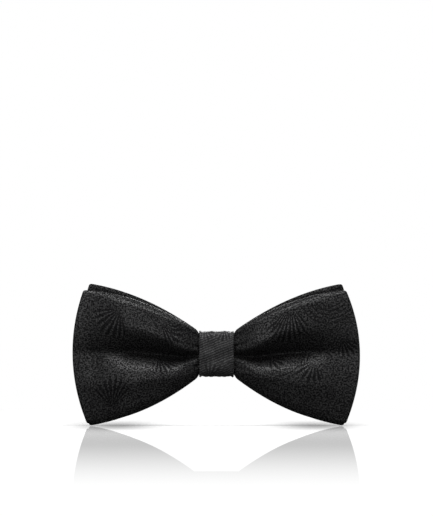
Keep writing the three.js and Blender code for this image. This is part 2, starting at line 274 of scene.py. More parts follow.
# ---- Node helpers ----
class Tree:
    """Adds and links shader nodes."""

    def __init__(self, nodes_and_links):
        self.nodes, self.links = nodes_and_links.nodes, nodes_and_links.links

    def add(self, kind, inputs=None, **settings):
        node = self.nodes.new(kind)
        for key, value in settings.items():
            setattr(node, key, value)
        for key, value in (inputs or {}).items():
            self.put(node.inputs[key], value)
        return node

    def put(self, socket, value):
        if isinstance(value, bpy.types.NodeSocket):
            self.links.new(value, socket)
        else:
            socket.default_value = value

    def math(self, operation, *values, clamp=False):
        node = self.add("ShaderNodeMath", operation=operation, use_clamp=clamp)
        for socket, value in zip(node.inputs, values):
            self.put(socket, value)
        return node.outputs[0]

    def vector(self, operation, *values):
        node = self.add("ShaderNodeVectorMath", operation=operation)
        for socket, value in zip(node.inputs, values):
            self.put(socket, value)
        return node.outputs["Value" if operation in ("LENGTH", "DOT_PRODUCT") else "Vector"]

    def wave(self, turns):
        return self.math("SINE", self.math("MULTIPLY", turns, math.tau))

    def step(self, value, low, high, to_low=0.0, to_high=1.0):
        ends = {"From Min": low, "From Max": high, "To Min": to_low, "To Max": to_high}
        node = self.add(
            "ShaderNodeMapRange", {"Value": value, **ends}, interpolation_type="SMOOTHSTEP"
        )
        return node.outputs["Result"]

    def colour(self, factor, a, b, blend="MIX"):
        node = self.add("ShaderNodeMix", data_type="RGBA", blend_type=blend)
        sockets = [s for s in node.inputs if s.enabled]
        for socket, value in zip(sockets, (factor, a, b)):
            self.put(socket, value)
        return next(s for s in node.outputs if s.enabled)


def new_group(name, inputs, outputs):
    """A shader node group with named float or vector sockets: its tree, and its ends' sockets."""
    group = bpy.data.node_groups.new(name, "ShaderNodeTree")
    for key, default in inputs.items():
        kind = "NodeSocketVector" if default is None else "NodeSocketFloat"
        socket = group.interface.new_socket(name=key, in_out="INPUT", socket_type=kind)
        if default is not None:
            socket.default_value = default
    for key in outputs:
        group.interface.new_socket(name=key, in_out="OUTPUT", socket_type="NodeSocketFloat")
    tree = Tree(group)
    entry = tree.add("NodeGroupInput")
    exit_node = tree.add("NodeGroupOutput")
    return tree, entry.outputs, exit_node.inputs


def use_group(tree, name, inputs):
    """Places a shared effect in a material, and gives its outputs."""
    node = tree.add("ShaderNodeGroup", node_tree=bpy.data.node_groups[name])
    for key, value in inputs.items():
        tree.put(node.inputs[key], value)
    return node.outputs


def tinted(colour, gain=1.0):
    """A colour with its alpha, brighter or darker by gain."""
    return tuple(gain * channel for channel in colour) + (1,)


def grey(tree, level):
    """A colour socket with the same level in each channel."""
    node = tree.add("ShaderNodeCombineColor", {"Red": level, "Green": level, "Blue": level})
    return node.outputs["Color"]


# ---- Shared effects ----
CLOUD_SCALE = 0.66  # size of the livelier patches of threads, against one thread
FLECK_SHARE = 0.35  # of the fleck that changes from thread to thread


def make_grain_group():
    """Satin threads: bright flecks where a thread floats, and the height of the weave."""
    tree, given, out = new_group(
        "satin_grain", {"Cloth": None, "Thread": 0.42, "Slant": 0.35}, ["Fleck", "Height"]
    )
    scaled = tree.vector("SCALE", given["Cloth"])
    tree.put(scaled.node.inputs["Scale"], tree.math("DIVIDE", 1.0, given["Thread"]))
    parts = tree.add("ShaderNodeSeparateXYZ", {"Vector": scaled})
    warp = parts.outputs["X"]
    weft = tree.math("ADD", parts.outputs["Y"], tree.math("MULTIPLY", warp, given["Slant"]))
    cell = tree.add(
        "ShaderNodeCombineXYZ",
        {"X": tree.math("FLOOR", warp), "Y": tree.math("FLOOR", weft)},
    )
    speck = tree.add("ShaderNodeTexWhiteNoise", {"Vector": cell.outputs[0]}, noise_dimensions="2D")
    crossing = tree.math("MULTIPLY", tree.wave(warp), tree.wave(weft))
    crimp = tree.math("MULTIPLY_ADD", crossing, 0.5, 0.5)
    cloud = tree.add(
        "ShaderNodeTexNoise",
        {"Vector": scaled, "Scale": CLOUD_SCALE, "Detail": 2.0, "Roughness": 0.6},
    )
    lively = tree.step(cloud.outputs["Fac"], 0.38, 0.64)
    patchy = tree.math("MULTIPLY", lively, 1 - FLECK_SHARE)
    raw = tree.math("MULTIPLY_ADD", speck.outputs["Value"], FLECK_SHARE, patchy)
    tree.put(out["Fleck"], tree.step(raw, 0.15, 0.95))
    floats = tree.math("MULTIPLY", raw, 0.55)
    tree.put(out["Height"], tree.math("MULTIPLY_ADD", crimp, 0.45, floats))


def make_leaf_group():
    """A fan of slender leaves that spread from a point, with beaded ribs and a rounded outline."""
    tree, given, out = new_group(
        "leaf_fan",
        {"Place": None, "Leaves": 7.0, "Length": 12.0, "Spread": 0.95, "Bead": 1.0},
        ["Leaf", "Beads"],
    )
    parts = tree.add("ShaderNodeSeparateXYZ", {"Vector": given["Place"]})
    radius = tree.vector("LENGTH", given["Place"])
    angle = tree.math("ARCTAN2", parts.outputs["Y"], parts.outputs["X"])
    turn = tree.math("DIVIDE", tree.math("ABSOLUTE", angle), given["Spread"])
    reach = tree.math("MULTIPLY", given["Length"], tree.math("MULTIPLY_ADD", turn, -0.3, 1.0))
    share = tree.math("DIVIDE", radius, reach)
    phase = tree.math("MULTIPLY", tree.math("DIVIDE", angle, given["Spread"]), given["Leaves"])
    rib = tree.math("ABSOLUTE", tree.math("SINE", tree.math("MULTIPLY", phase, math.pi / 2)))
    slender = tree.math("SINE", tree.math("MULTIPLY", tree.math("MINIMUM", share, 1.0), math.pi))
    level = tree.math("MULTIPLY_ADD", slender, -0.45, 1.0)
    leaf = tree.step(tree.math("SUBTRACT", rib, level), -0.1, 0.12)
    inside = tree.math("MULTIPLY", tree.step(share, 1.0, 0.9), tree.step(turn, 1.0, 0.92))
    bead = tree.wave(tree.math("DIVIDE", radius, given["Bead"]))
    gap = tree.math("MULTIPLY", tree.step(rib, 0.55, 0.15), tree.step(share, 0.2, 0.45))
    tree.put(out["Leaf"], tree.math("MULTIPLY", leaf, inside))
    beads = tree.math("MULTIPLY", tree.step(bead, -0.2, 0.6), gap)
    tree.put(out["Beads"], tree.math("MULTIPLY", beads, inside))


def make_arc_group():
    """Concentric feather arcs round a point."""
    tree, given, out = new_group(
        "feather_arc",
        {"Place": None, "Inner": 4.0, "Outer": 12.0, "Pitch": 1.7, "Spread": 1.2, "Bead": 0.7},
        ["Arc"],
    )
    parts = tree.add("ShaderNodeSeparateXYZ", {"Vector": given["Place"]})
    radius = tree.vector("LENGTH", given["Place"])
    angle = tree.math("ARCTAN2", parts.outputs["Y"], parts.outputs["X"])
    turn = tree.math("DIVIDE", tree.math("ABSOLUTE", angle), given["Spread"])
    line = tree.step(tree.wave(tree.math("DIVIDE", radius, given["Pitch"])), 0.05, 0.75)
    round_arc = tree.math("MULTIPLY", angle, radius)
    bead = tree.wave(tree.math("DIVIDE", round_arc, given["Bead"]))
    beads = tree.math("MULTIPLY_ADD", bead, 0.25, 0.75)
    ring = tree.math(
        "MULTIPLY",
        tree.step(radius, given["Inner"], tree.math("ADD", given["Inner"], 0.6)),
        tree.step(radius, given["Outer"], tree.math("SUBTRACT", given["Outer"], 0.8)),
    )
    inside = tree.math("MULTIPLY", ring, tree.step(turn, 1.0, 0.85))
    tree.put(out["Arc"], tree.math("MULTIPLY", tree.math("MULTIPLY", line, beads), inside))


def make_rib_group():
    """Slanting corded lines, as on a twill."""
    tree, given, out = new_group("twill_rib", {"Cloth": None, "Pitch": 0.8, "Slope": 0.4}, ["Rib"])
    parts = tree.add("ShaderNodeSeparateXYZ", {"Vector": given["Cloth"]})
    slanted = tree.math(
        "SUBTRACT", parts.outputs["Y"], tree.math("MULTIPLY", parts.outputs["X"], given["Slope"])
    )
    wave = tree.wave(tree.math("DIVIDE", slanted, given["Pitch"]))
    tree.put(out["Rib"], tree.step(wave, -0.5, 0.4))


# ---- Materials ----
def cloth_coordinates(tree):
    """The piece's own cloth map, in millimetres."""
    source = tree.add("ShaderNodeUVMap", uv_map="cloth")
    scaled = tree.add(
        "ShaderNodeMapping",
        {"Vector": source.outputs["UV"], "Scale": (1 / UV_PER_MM, 1 / UV_PER_MM, 1.0)},
    )
    return scaled.outputs["Vector"]


def new_material(name, **constants):
    """A material, its tree and its shader, with the shader's plain settings."""
    material = bpy.data.materials.new(name)
    material.use_nodes = True
    tree = Tree(material.node_tree)
    shader = next(n for n in tree.nodes if n.type == "BSDF_PRINCIPLED")
    for key, value in constants.items():
        shader.inputs[key.replace("_", " ")].default_value = value
    return material, tree, shader


def bump(tree, shader, height, distance, strength=1.0):
    """Turns a height into the shader's normal. distance is in metres."""
    node = tree.add(
        "ShaderNodeBump", {"Height": height, "Distance": distance, "Strength": strength}
    )
    tree.put(shader.inputs["Normal"], node.outputs["Normal"])


# Fans and arcs of the figure on the bows: (x, y, turn in degrees, leaves, length), and for the
# arcs (x, y, turn, inner, outer radius), in millimetres of cloth from the middle of the pleat.
FANS = [
    (-40.0, 20.0, -122, 9, 15),
    (-43.5, -24.0, 88, 9, 14),
    (-23.0, 18.0, -35, 7, 11),
    (-24.0, -3.0, -60, 7, 10),
    (31.0, 23.0, -98, 11, 17),
    (41.0, -4.5, -115, 7, 12),
    (22.0, -2.5, -50, 5, 9),
    (52.0, 6.0, -60, 7, 10),
]
ARCS = [
    (48.0, 25.0, -100, 4.0, 13.0),
    (23.0, 1.0, -72, 12.0, 17.5),
    (-55.0, -4.0, 20, 3.0, 8.0),
    (-18.0, 27.0, -80, 9.0, 14.0),
]


KNOT_FANS = [(3.5, 11.0, -110, 6, 7), (-5.0, 10.5, -60, 5, 6), (-3.0, -9.5, 75, 5, 7)]
KNOT_ARCS = [(6.5, -7.0, 130, 2.0, 6.5)]
COAT = 0.55  # gloss where the satin ground shines most
FIGURE_DULLS, BEADS_SHINE = 0.74, 0.38  # shine lost in the figure, and won along its beaded ribs


def place_on_cloth(tree, cloth, x, y, turn):
    """Cloth coordinates seen from (x, y), in millimetres, and turned by some degrees."""
    spot = tree.add(
        "ShaderNodeMapping",
        {"Vector": cloth, "Location": (x, y, 0), "Rotation": (0, 0, math.radians(turn))},
        vector_type="TEXTURE",
    )
    return spot.outputs["Vector"]


def figured_cloth(name, colours, fans, arcs, rib_strength, grain_share, gain):
    """Satin ground with a tone-on-tone figure of fans and arcs, and corded ribs where asked. A gain
    above 1 paints a brighter copy of the same cloth, as painted light.
    """
    material, tree, shader = new_material(
        name, Sheen_Weight=0.02, Sheen_Roughness=0.4, Specular_IOR_Level=0.03, Coat_Roughness=0.36,
        Coat_IOR=1.5,
    )
    cloth = cloth_coordinates(tree)
    figure, beads = 0.0, 0.0
    for x, y, turn, leaves, length in fans:
        spot = place_on_cloth(tree, cloth, x, y, turn)
        fan = use_group(tree, "leaf_fan", {"Place": spot, "Leaves": leaves, "Length": length})
        figure = tree.math("MAXIMUM", fan["Leaf"], figure)
        beads = tree.math("MAXIMUM", fan["Beads"], beads)
    for x, y, turn, inner, outer in arcs:
        spot = place_on_cloth(tree, cloth, x, y, turn)
        arc = use_group(tree, "feather_arc", {"Place": spot, "Inner": inner, "Outer": outer})
        figure = tree.math("MAXIMUM", figure, arc["Arc"])
    grain = use_group(tree, "satin_grain", {"Cloth": cloth})
    rib = use_group(tree, "twill_rib", {"Cloth": cloth, "Pitch": 1.0, "Slope": 0.38})["Rib"]
    patches = tree.add(
        "ShaderNodeTexNoise", {"Vector": cloth, "Scale": 0.11, "Detail": 3.0, "Roughness": 0.55}
    )
    ribbed = tree.math("MULTIPLY", rib, rib_strength)
    dull = tree.math("MAXIMUM", figure, ribbed)
    fleck = tree.math("MULTIPLY_ADD", grain["Fleck"], grain_share, 1 - grain_share)
    shine = tree.math("MULTIPLY", fleck, tree.math("MULTIPLY_ADD", dull, -FIGURE_DULLS, 1.0))
    shine = tree.math("MULTIPLY_ADD", beads, BEADS_SHINE, shine, clamp=True)
    wide = tree.step(patches.outputs["Fac"], 0.3, 0.7, 0.75, 1.0)
    shine = tree.math("MULTIPLY", shine, wide)
    # gain brightens ground and figure alike: painted light, where a copy of the cloth stands for
    # more light caught.
    ground, dark = tinted(colours.ground, gain), tinted(colours.figure, gain)
    tree.put(shader.inputs["Base Color"], tree.colour(shine, dark, ground))
    tree.put(shader.inputs["Roughness"], tree.step(shine, 0.0, 0.8, 0.8, 0.5))
    tree.put(shader.inputs["Coat Weight"], tree.math("MULTIPLY", shine, COAT, clamp=True))
    height = tree.math(
        "ADD", tree.math("MULTIPLY", grain["Height"], 0.7), tree.math("MULTIPLY", dull, -0.35)
    )
    bump(tree, shader, height, 0.10 * MM, 0.9)
    return material


def band_cloth(colours):
    """Plain black satin ribbon with a pressed line along both edges."""
    material, tree, shader = new_material(
        "plain_satin", Sheen_Weight=0.05, Sheen_Roughness=0.4, Specular_IOR_Level=0.3,
        Anisotropic=0.3,
    )
    cloth = cloth_coordinates(tree)
    grain = use_group(tree, "satin_grain", {"Cloth": cloth, "Thread": 0.3, "Slant": 0.0})
    rib = use_group(tree, "twill_rib", {"Cloth": cloth, "Pitch": 0.55, "Slope": 3.0})["Rib"]
    parts = tree.add("ShaderNodeSeparateXYZ", {"Vector": cloth})
    from_middle = tree.math("ABSOLUTE", tree.math("SUBTRACT", parts.outputs["Y"], BAND_Z))
    to_edge = tree.math("SUBTRACT", BAND_HEIGHT / 2, from_middle)
    pressed = tree.math("MULTIPLY", tree.step(to_edge, 0.5, 0.9), tree.step(to_edge, 1.7, 1.2))
    ground, dark = tinted(colours.band), tinted(colours.band, 0.4)
    shine = tree.math("MULTIPLY", grain["Fleck"], tree.math("MULTIPLY_ADD", rib, 0.4, 0.6))
    shine = tree.math("MULTIPLY_ADD", pressed, 0.25, shine, clamp=True)
    tree.put(shader.inputs["Base Color"], tree.colour(shine, dark, ground))
    tree.put(shader.inputs["Roughness"], tree.step(shine, 0.0, 1.0, 0.6, 0.42))
    weave = tree.math("ADD", grain["Height"], tree.math("MULTIPLY", rib, 0.6))
    height = tree.math("MULTIPLY_ADD", pressed, -1.6, weave)
    bump(tree, shader, height, 0.07 * MM, 0.8)
    return material


def lining_cloth(colours):
    """Pale open weave of the stiffeners."""
    material, tree, shader = new_material(
        "woven_interlining", Sheen_Weight=0.1, Sheen_Roughness=0.6
    )
    cloth = cloth_coordinates(tree)
    grain = use_group(tree, "satin_grain", {"Cloth": cloth, "Thread": 0.6, "Slant": 0.0})
    pale, shade = tinted(colours.lining), tinted(colours.lining, 0.7)
    tree.put(shader.inputs["Base Color"], tree.colour(grain["Fleck"], shade, pale))
    tree.put(shader.inputs["Roughness"], tree.step(grain["Fleck"], 0.0, 1.0, 0.95, 0.8))
    bump(tree, shader, grain["Height"], 0.15 * MM)
    return material


def sewing_thread():
    """Twisted black thread."""
    material, tree, shader = new_material("sewing_thread", Sheen_Weight=0.2, Sheen_Roughness=0.4)
    place_node = tree.add("ShaderNodeTexCoord")
    fibre = tree.add(
        "ShaderNodeTexWave",
        {"Vector": place_node.outputs["Object"], "Scale": 1500.0, "Distortion": 3.0, "Detail": 2.0},
        bands_direction="DIAGONAL",
    )
    dark, pale = (0.006, 0.006, 0.0065, 1), (0.022, 0.022, 0.023, 1)
    tree.put(shader.inputs["Base Color"], tree.colour(fibre.outputs["Fac"], dark, pale))
    tree.put(shader.inputs["Roughness"], tree.step(fibre.outputs["Fac"], 0.0, 1.0, 0.7, 0.5))
    bump(tree, shader, fibre.outputs["Fac"], 0.05 * MM)
    return material


BRUSHING = (400.0, 400.0, 9000.0)  # the plate's fine lines run level


def nickel_plate(colours):
    """Brushed nickel with faint tarnish."""
    material, tree, shader = new_material("nickel_plate", Metallic=1.0)
    place_node = tree.add("ShaderNodeTexCoord")
    brushed = tree.add(
        "ShaderNodeMapping", {"Vector": place_node.outputs["Object"], "Scale": BRUSHING}
    )
    lines = tree.add(
        "ShaderNodeTexNoise", {"Vector": brushed.outputs["Vector"], "Scale": 1.0, "Detail": 4.0}
    )
    smudge = tree.add(
        "ShaderNodeTexNoise",
        {"Vector": place_node.outputs["Object"], "Scale": 260.0, "Detail": 3.0},
    )
    bright, worn = tinted(colours.metal), tinted(colours.metal, 0.72)
    tarnish = tree.step(smudge.outputs["Fac"], 0.4, 0.75)
    tree.put(shader.inputs["Base Color"], tree.colour(tarnish, bright, worn))
    both = tree.math("MULTIPLY_ADD", lines.outputs["Fac"], 0.5, tree.math("MULTIPLY", tarnish, 0.5))
    tree.put(shader.inputs["Roughness"], tree.step(both, 0.1, 0.8, 0.16, 0.38))
    bump(tree, shader, lines.outputs["Fac"], 0.012 * MM)
    return material


def make_materials(scene):
    """Makes the shared effects and every material."""
    colours = scene.bow_tie_colours
    make_grain_group()
    make_leaf_group()
    make_arc_group()
    make_rib_group()
    figured_cloth("figured_satin", colours, FANS, ARCS, rib_strength=0.0, grain_share=1.0, gain=1.0)
    # The knot's satin is the bows' cloth painted 2.05 times brighter: painted light for the shine
    # its ribs catch.
    figured_cloth(
        "knot_satin", colours, KNOT_FANS, KNOT_ARCS, rib_strength=0.95, grain_share=0.55, gain=2.05
    )
    band_cloth(colours)
    lining_cloth(colours)
    sewing_thread()
    nickel_plate(colours)


# ---- The bows ----
# Outline of each bow, in millimetres: the corners, the bulge of the outer edge, and how the long
# edges curve from the knot to the corner.
FRONT_BOW = {
    "bottom_x": 54.0, "top_x": 55.5, "bulge": 5.3,
    "bottom": FRONT_LOW[2], "top": FRONT_HIGH[2], "curve": 1.85, "right_trim": 1.5,
}
REAR_BOW = {
    "bottom_x": 53.0, "top_x": 53.0, "bulge": 5.0,
    "bottom": REAR_LOW[2], "top": REAR_HIGH[2], "curve": 1.64, "right_trim": 0.7,
}
ROOT_TOP = KNOT_HIGH[2] + 0.1
ROOT_BOTTOM = KNOT_LOW[2] - 0.1
CORNER = 0.8  # radius of each wing's corners
EDGE_CLOTH = 2.4  # cloth that turns round each outer edge
COLUMNS, ROWS = 150, 60


def long_edge(x, squeezed, root, corner, corner_x, curve):
    """Height of a bow's upper or lower edge: squeezed in the knot, then out to the corner."""
    t = np.clip((x - KNOT_HALF) / (corner_x - KNOT_HALF), 0, 1)
    opened = root + (corner - root) * t * (curve - (curve - 1) * t)
    return mix(squeezed, opened, smoothstep(KNOT_HALF - 1.2, KNOT_HALF + 0.9, x))


def groove_height(x):
    """Where the pleat runs, as a share of the bow's height."""
    return mix(0.48, 0.54, smoothstep(9, 34, x))


def bow_outline(shape, across, up):
    """x and z of a sheet that runs from -1 to 1 across and 0 to 1 up, its height at x, and how far
    x lies inside the outer edge. In millimetres."""
    station = WING * np.abs(across) ** 1.2
    edge = mix(shape["bottom_x"], shape["top_x"], up) + shape["bulge"] * 4 * up * (1 - up)
    edge -= np.where(across > 0, shape["right_trim"] * up**3, 0)
    corner = np.minimum(up, 1 - up) * (shape["top"] - shape["bottom"])
    edge -= CORNER - np.sqrt(np.maximum(CORNER**2 - np.maximum(CORNER - corner, 0) ** 2, 0))
    x = station - (WING - edge) * (station / WING) ** 3
    low = long_edge(
        np.minimum(x, shape["bottom_x"]), KNOT_LOW[2] + 1.9, ROOT_BOTTOM,
        shape["bottom"], shape["bottom_x"], shape["curve"],
    )
    high = long_edge(
        np.minimum(x, shape["top_x"]), KNOT_HIGH[2] - 1.9, ROOT_TOP,
        shape["top"], shape["top_x"], shape["curve"],
    )
    return x, mix(low, high, up), high - low, edge - x


def lobe(t, crest, sag, power):
    """Swell of a lobe from the pleat, 0, to the long edge, 1. crest is where it is fullest, and
    sag how much of it is lost from there to the edge."""
    rise = 1 - (1 - np.clip(t / crest, 0, 1)) ** 2
    fall = 1 - sag * np.clip((t - crest) / (1 - crest), 0, 1) ** power
    return rise * fall * (1 - 0.6 * np.clip((t - 0.86) / 0.14, 0, 1) ** 2)


def lobed(x, up, swell, groove, outer):
    """Forward swell of a bow's face, in millimetres, with one pleat that fades outward."""
    fold = groove_height(x)
    above = np.clip((up - fold) / (1 - fold), 0, 1)
    below = np.clip((fold - up) / fold, 0, 1)
    # The upper lobe hangs over the pleat and the lower one comes forward at once.
    upper = lobe(above, mix(0.2, 0.45, smoothstep(9, 28, x)), 0.44, 1.3)
    lower = lobe(below, mix(0.58, 0.5, smoothstep(9, 28, x)), 0.5, 1.2)
    shape = np.where(up > fold, upper, 0.92 * lower)
    size = swell * smoothstep(4.5, 17, x) * (1 - 0.6 * smoothstep(36, 62, x))
    deep = groove * np.exp(-(((up - fold) / 0.07) ** 2)) * smoothstep(6, 12, x)
    near = size * shape - deep * (1 - smoothstep(16, 40, x))
    far = outer * (4 * up * (1 - up)) ** 0.5 + 0.35 * size * shape
    return mix(near, far, smoothstep(30, 58, x))


GATHER, FINE_GATHER, SLOW_WAVE = 0.28, 0.12, 0.22  # heights of the creases


def creases(x, z, up, seed):
    """Small gathers that run out from the knot, and slow waves of the cloth."""
    from_knot = np.maximum(x - 6, 0)
    gathers = np.sin(up * 31 + seed) * GATHER * np.exp(-from_knot / 8)
    fine = np.sin(up * 57 + 2 * seed + x * 0.05) * FINE_GATHER * np.exp(-from_knot / 12)
    waves = SLOW_WAVE * np.sin(x * 0.21 + z * 0.09 + seed) * np.sin(z * 0.17 - x * 0.06 + seed)
    return gathers + fine + waves * smoothstep(12, 30, x)


def cloth_map_of_sheet(x, y, z, up):
    """Cloth place of each vertex of a grid sheet: x, and the distance up from the pleat."""
    rows, columns = ROWS + 1, COLUMNS + 1
    up = up.reshape(rows, columns)[:, 0]
    grid = np.stack([y, z], axis=-1).reshape(rows, columns, 2)
    steps = np.linalg.norm(np.diff(grid, axis=0), axis=2)
    along = np.concatenate([np.zeros((1, columns)), np.cumsum(steps, axis=0)])
    fold = groove_height(np.abs(x.reshape(rows, columns)[0]))
    centre = np.array([np.interp(f, up, a) for f, a in zip(fold, along.T)])
    return x, (along - centre[None, :]).ravel()


def add_sheet(name):
    """A flat grid, and where each of its vertices lies across, -1 to 1, and up, 0 to 1."""
    bpy.ops.object.select_all(action="DESELECT")
    bpy.ops.mesh.primitive_grid_add(x_subdivisions=COLUMNS, y_subdivisions=ROWS, size=2)
    piece = named(name)
    flat = coordinates(piece)
    even = (flat[:, 1] + 1) / 2
    return piece, flat[:, 0], mix(even, 0.5 - 0.5 * np.cos(np.pi * even), 0.75)


def bow_sheet(name, shape, depth, seed, turned=0.0):
    """One face of a bow. depth gives y from a point's x, its share of the height, the height there
    and how far it lies inside the outer edge. turned is the width of cloth that goes round the
    outer edge before this face. In millimetres."""
    piece, across, up = add_sheet(name)
    x, z, height, inset = bow_outline(shape, across, up)
    flat = np.where(np.abs(across) < 0.99, 1, 0.3)
    y = depth(x, up, height, inset) + creases(x, z, up, seed) * flat
    x = np.sign(across) * x
    place(piece, np.stack([x, y, z], axis=1) * MM)
    u, v = cloth_map_of_sheet(x, y, z, up)
    write_map(piece, u + turned * np.clip(x / KNOT_HALF, -1, 1), v)
    return piece


def close_pillow(front, back, name):
    """Joins two sheets along their edges into one closed form."""
    select_only(front)
    back.select_set(True)
    bpy.ops.object.join()
    piece = named(name)
    bpy.ops.object.mode_set(mode="EDIT")
    bpy.ops.mesh.select_mode(type="EDGE")
    bpy.ops.mesh.select_all(action="DESELECT")
    bpy.ops.mesh.select_non_manifold(extend=False, use_boundary=True)
    bpy.ops.mesh.bridge_edge_loops(number_cuts=1, profile_shape_factor=0.0)
    bpy.ops.mesh.select_all(action="SELECT")
    bpy.ops.mesh.normals_make_consistent(inside=False)
    bpy.ops.object.mode_set(mode="OBJECT")
    return piece


PRESSURE, MOST_MOVE = 1.2, 0.7 * MM
SETTLING_STEPS, HOLD_LEVELS = 14, 10
CLOTH_SETTINGS = {
    "quality": 5, "mass": 0.25, "tension_stiffness": 18, "compression_stiffness": 18,
    "shear_stiffness": 8, "bending_stiffness": 1.2, "pin_stiffness": 4,
    "use_pressure": True, "uniform_pressure_force": PRESSURE,
}


def puff(piece, hold):
    """Lets the cloth settle under a little pressure. hold is 1 where it is gathered."""
    before = coordinates(piece)
    group = piece.vertex_groups.new(name="held")
    for level in range(1, HOLD_LEVELS + 1):
        chosen = np.where(np.round(hold * HOLD_LEVELS) == level)[0]
        group.add([int(i) for i in chosen], level / HOLD_LEVELS, "REPLACE")
    cloth = piece.modifiers.new("Cloth", "CLOTH")
    for key, value in CLOTH_SETTINGS.items():
        setattr(cloth.settings, key, value)
    cloth.settings.effector_weights.gravity = 0
    cloth.settings.vertex_group_mass = group.name
    cloth.collision_settings.use_collision = False
    cloth.point_cache.frame_start, cloth.point_cache.frame_end = 1, SETTLING_STEPS
    for step in range(1, SETTLING_STEPS + 1):
        bpy.context.scene.frame_set(step)
    select_only(piece)
    bpy.ops.object.modifier_apply(modifier=cloth.name)
    bpy.context.scene.frame_set(1)
    moved = coordinates(piece) - before
    length = np.linalg.norm(moved, axis=1, keepdims=True)
    place(piece, before + moved * np.minimum(1, MOST_MOVE / np.maximum(length, 1e-12)))
    piece.vertex_groups.clear()


def bow_hold(piece):
    """1 beside the knot, where the bow is gathered, to 0 over its wings."""
    points = np.abs(coordinates(piece)) / MM
    near_knot = 1 - smoothstep(KNOT_HALF + 1, KNOT_HALF + 9, points[:, 0])
    return np.clip(near_knot, 0, 1)


def make_bow(name, shape, front_depth, back_depth, seed, nodes):
    """A bow: two faces closed to a pillow, settled as cloth and made smooth."""
    front = bow_sheet(name + "_face", shape, front_depth, seed)
    back = bow_sheet(name + "_back", shape, back_depth, seed + 2.4, EDGE_CLOTH)
    piece = close_pillow(front, back, name)
    puff(piece, bow_hold(piece))
    add_modifier(piece, "SUBSURF", levels=1, render_levels=1)
    smooth_shaded(piece)
    finish_piece(piece, "figured_satin", "bow", "bow_cloth", *nodes)


def ridge(distance, at=1.3, width=0.45, tall=0.18):
    """A rounded line that stands proud at some distance from an edge, in millimetres."""
    return tall * np.exp(-(((distance - at) / width) ** 2))


def rim(x, up, height, inset):
    """A pressed ridge just inside each edge, where the seam allowance lies."""
    long_edges = ridge((1 - up) * height) + ridge(up * height)
    return long_edges * smoothstep(16, 30, x) + ridge(inset, at=1.1)


def lean(x, up):
    """The front bow's long edges stand forward of the rear bow between the knot and the corners."""
    return 2.0 * smoothstep(8, 20, x) * (1 - smoothstep(34, 58, x)) * np.abs(2 * up - 1) ** 1.5


REAR_GAP = 2.5  # from the front bow's face to the rear bow's, in the knot


# The depth of each face, all with the arguments that bow_sheet gives.
def front_face(x, up, height, inset):
    sizes = bpy.context.scene.bow_tie_bows
    swell = lobed(x, up, sizes.lobe / MM, sizes.groove / MM, sizes.outer_swell / MM)
    swell *= 1 - 0.2 * np.abs(2 * up - 1) ** 1.5
    return STACK_Y - swell - rim(x, up, height, inset) - lean(x, up)


def front_back(x, up, height, inset):
    edge = bpy.context.scene.bow_tie_bows.edge / MM
    return STACK_Y + edge + 0.9 * (4 * up * (1 - up)) ** 0.6 - lean(x, up)


def rear_face(x, up, height, inset):
    return STACK_Y + REAR_GAP + 0.25 * (4 * up * (1 - up)) - rim(x, up, height, inset)


def rear_back(x, up, height, inset):
    sizes = bpy.context.scene.bow_tie_bows
    edge = STACK_Y + REAR_GAP + sizes.edge / MM + 1.3 * (1 - smoothstep(12, 40, x))
    swell = lobed(x, up, sizes.back_swell / MM, 0.4, sizes.back_swell / MM * 0.8)
    return edge + swell


class BOWTIE_OT_front_bow(bpy.types.Operator):
    """Models the front bow as a pillow of figured satin with one deep pleat"""

    bl_idname = "bow_tie.front_bow"
    bl_label = "Front bow"

    def execute(self, context):
        nodes = ("front_bow_face", "front_bow_back")
        make_bow("front_bow", FRONT_BOW, front_face, front_back, 0.4, nodes)
        return {"FINISHED"}


class BOWTIE_OT_rear_bow(bpy.types.Operator):
    """Models the rear bow, which stands a little taller behind the front one"""

    bl_idname = "bow_tie.rear_bow"
    bl_label = "Rear bow"

    def execute(self, context):
        nodes = ("rear_bow_face", "rear_bow_back")
        make_bow("rear_bow", REAR_BOW, rear_face, rear_back, 1.7, nodes)
        return {"FINISHED"}


def make_interlining(name, shape, front_depth, back_depth, node):
    """A stiffener between a bow's two faces, cut a little smaller than they are."""
    piece, across, up = add_sheet(name)
    inside = 0.05 + 0.9 * up
    x, z, height, inset = bow_outline(shape, across * 0.96, inside)
    share = mix(0.74, 0.55, smoothstep(10, 24, x))
    front = front_depth(x, inside, height, inset)
    y = mix(front, back_depth(x, inside, height, inset), share)
    x = np.sign(across) * x
    place(piece, np.stack([x, y, z], axis=1) * MM)
    write_map(piece, *cloth_map_of_sheet(x, y, z, up))
    add_modifier(piece, "DECIMATE", decimate_type="UNSUBDIV", iterations=2)
    add_modifier(piece, "SOLIDIFY", thickness=0.2 * MM, offset=0.0)
    face_outwards(piece)
    smooth_shaded(piece, 40)
    finish_piece(piece, "woven_interlining", "bow", "interlining", node)


class BOWTIE_OT_interlinings(bpy.types.Operator):
    """Models the stiffener inside each bow"""

    bl_idname = "bow_tie.interlinings"
    bl_label = "Bow interlinings"

    def execute(self, context):
        make_interlining(
            "front_stiffener", FRONT_BOW, front_face, front_back, "front_bow_interlining"
        )
        make_interlining("rear_stiffener", REAR_BOW, rear_face, rear_back, "rear_bow_interlining")
        return {"FINISHED"}


# ---- The knot ----
def rounded(wave, corner):
    """Turns a circle's sine or cosine into that of a box with rounded corners."""
    return np.sign(wave) * np.abs(wave) ** (2 / corner)


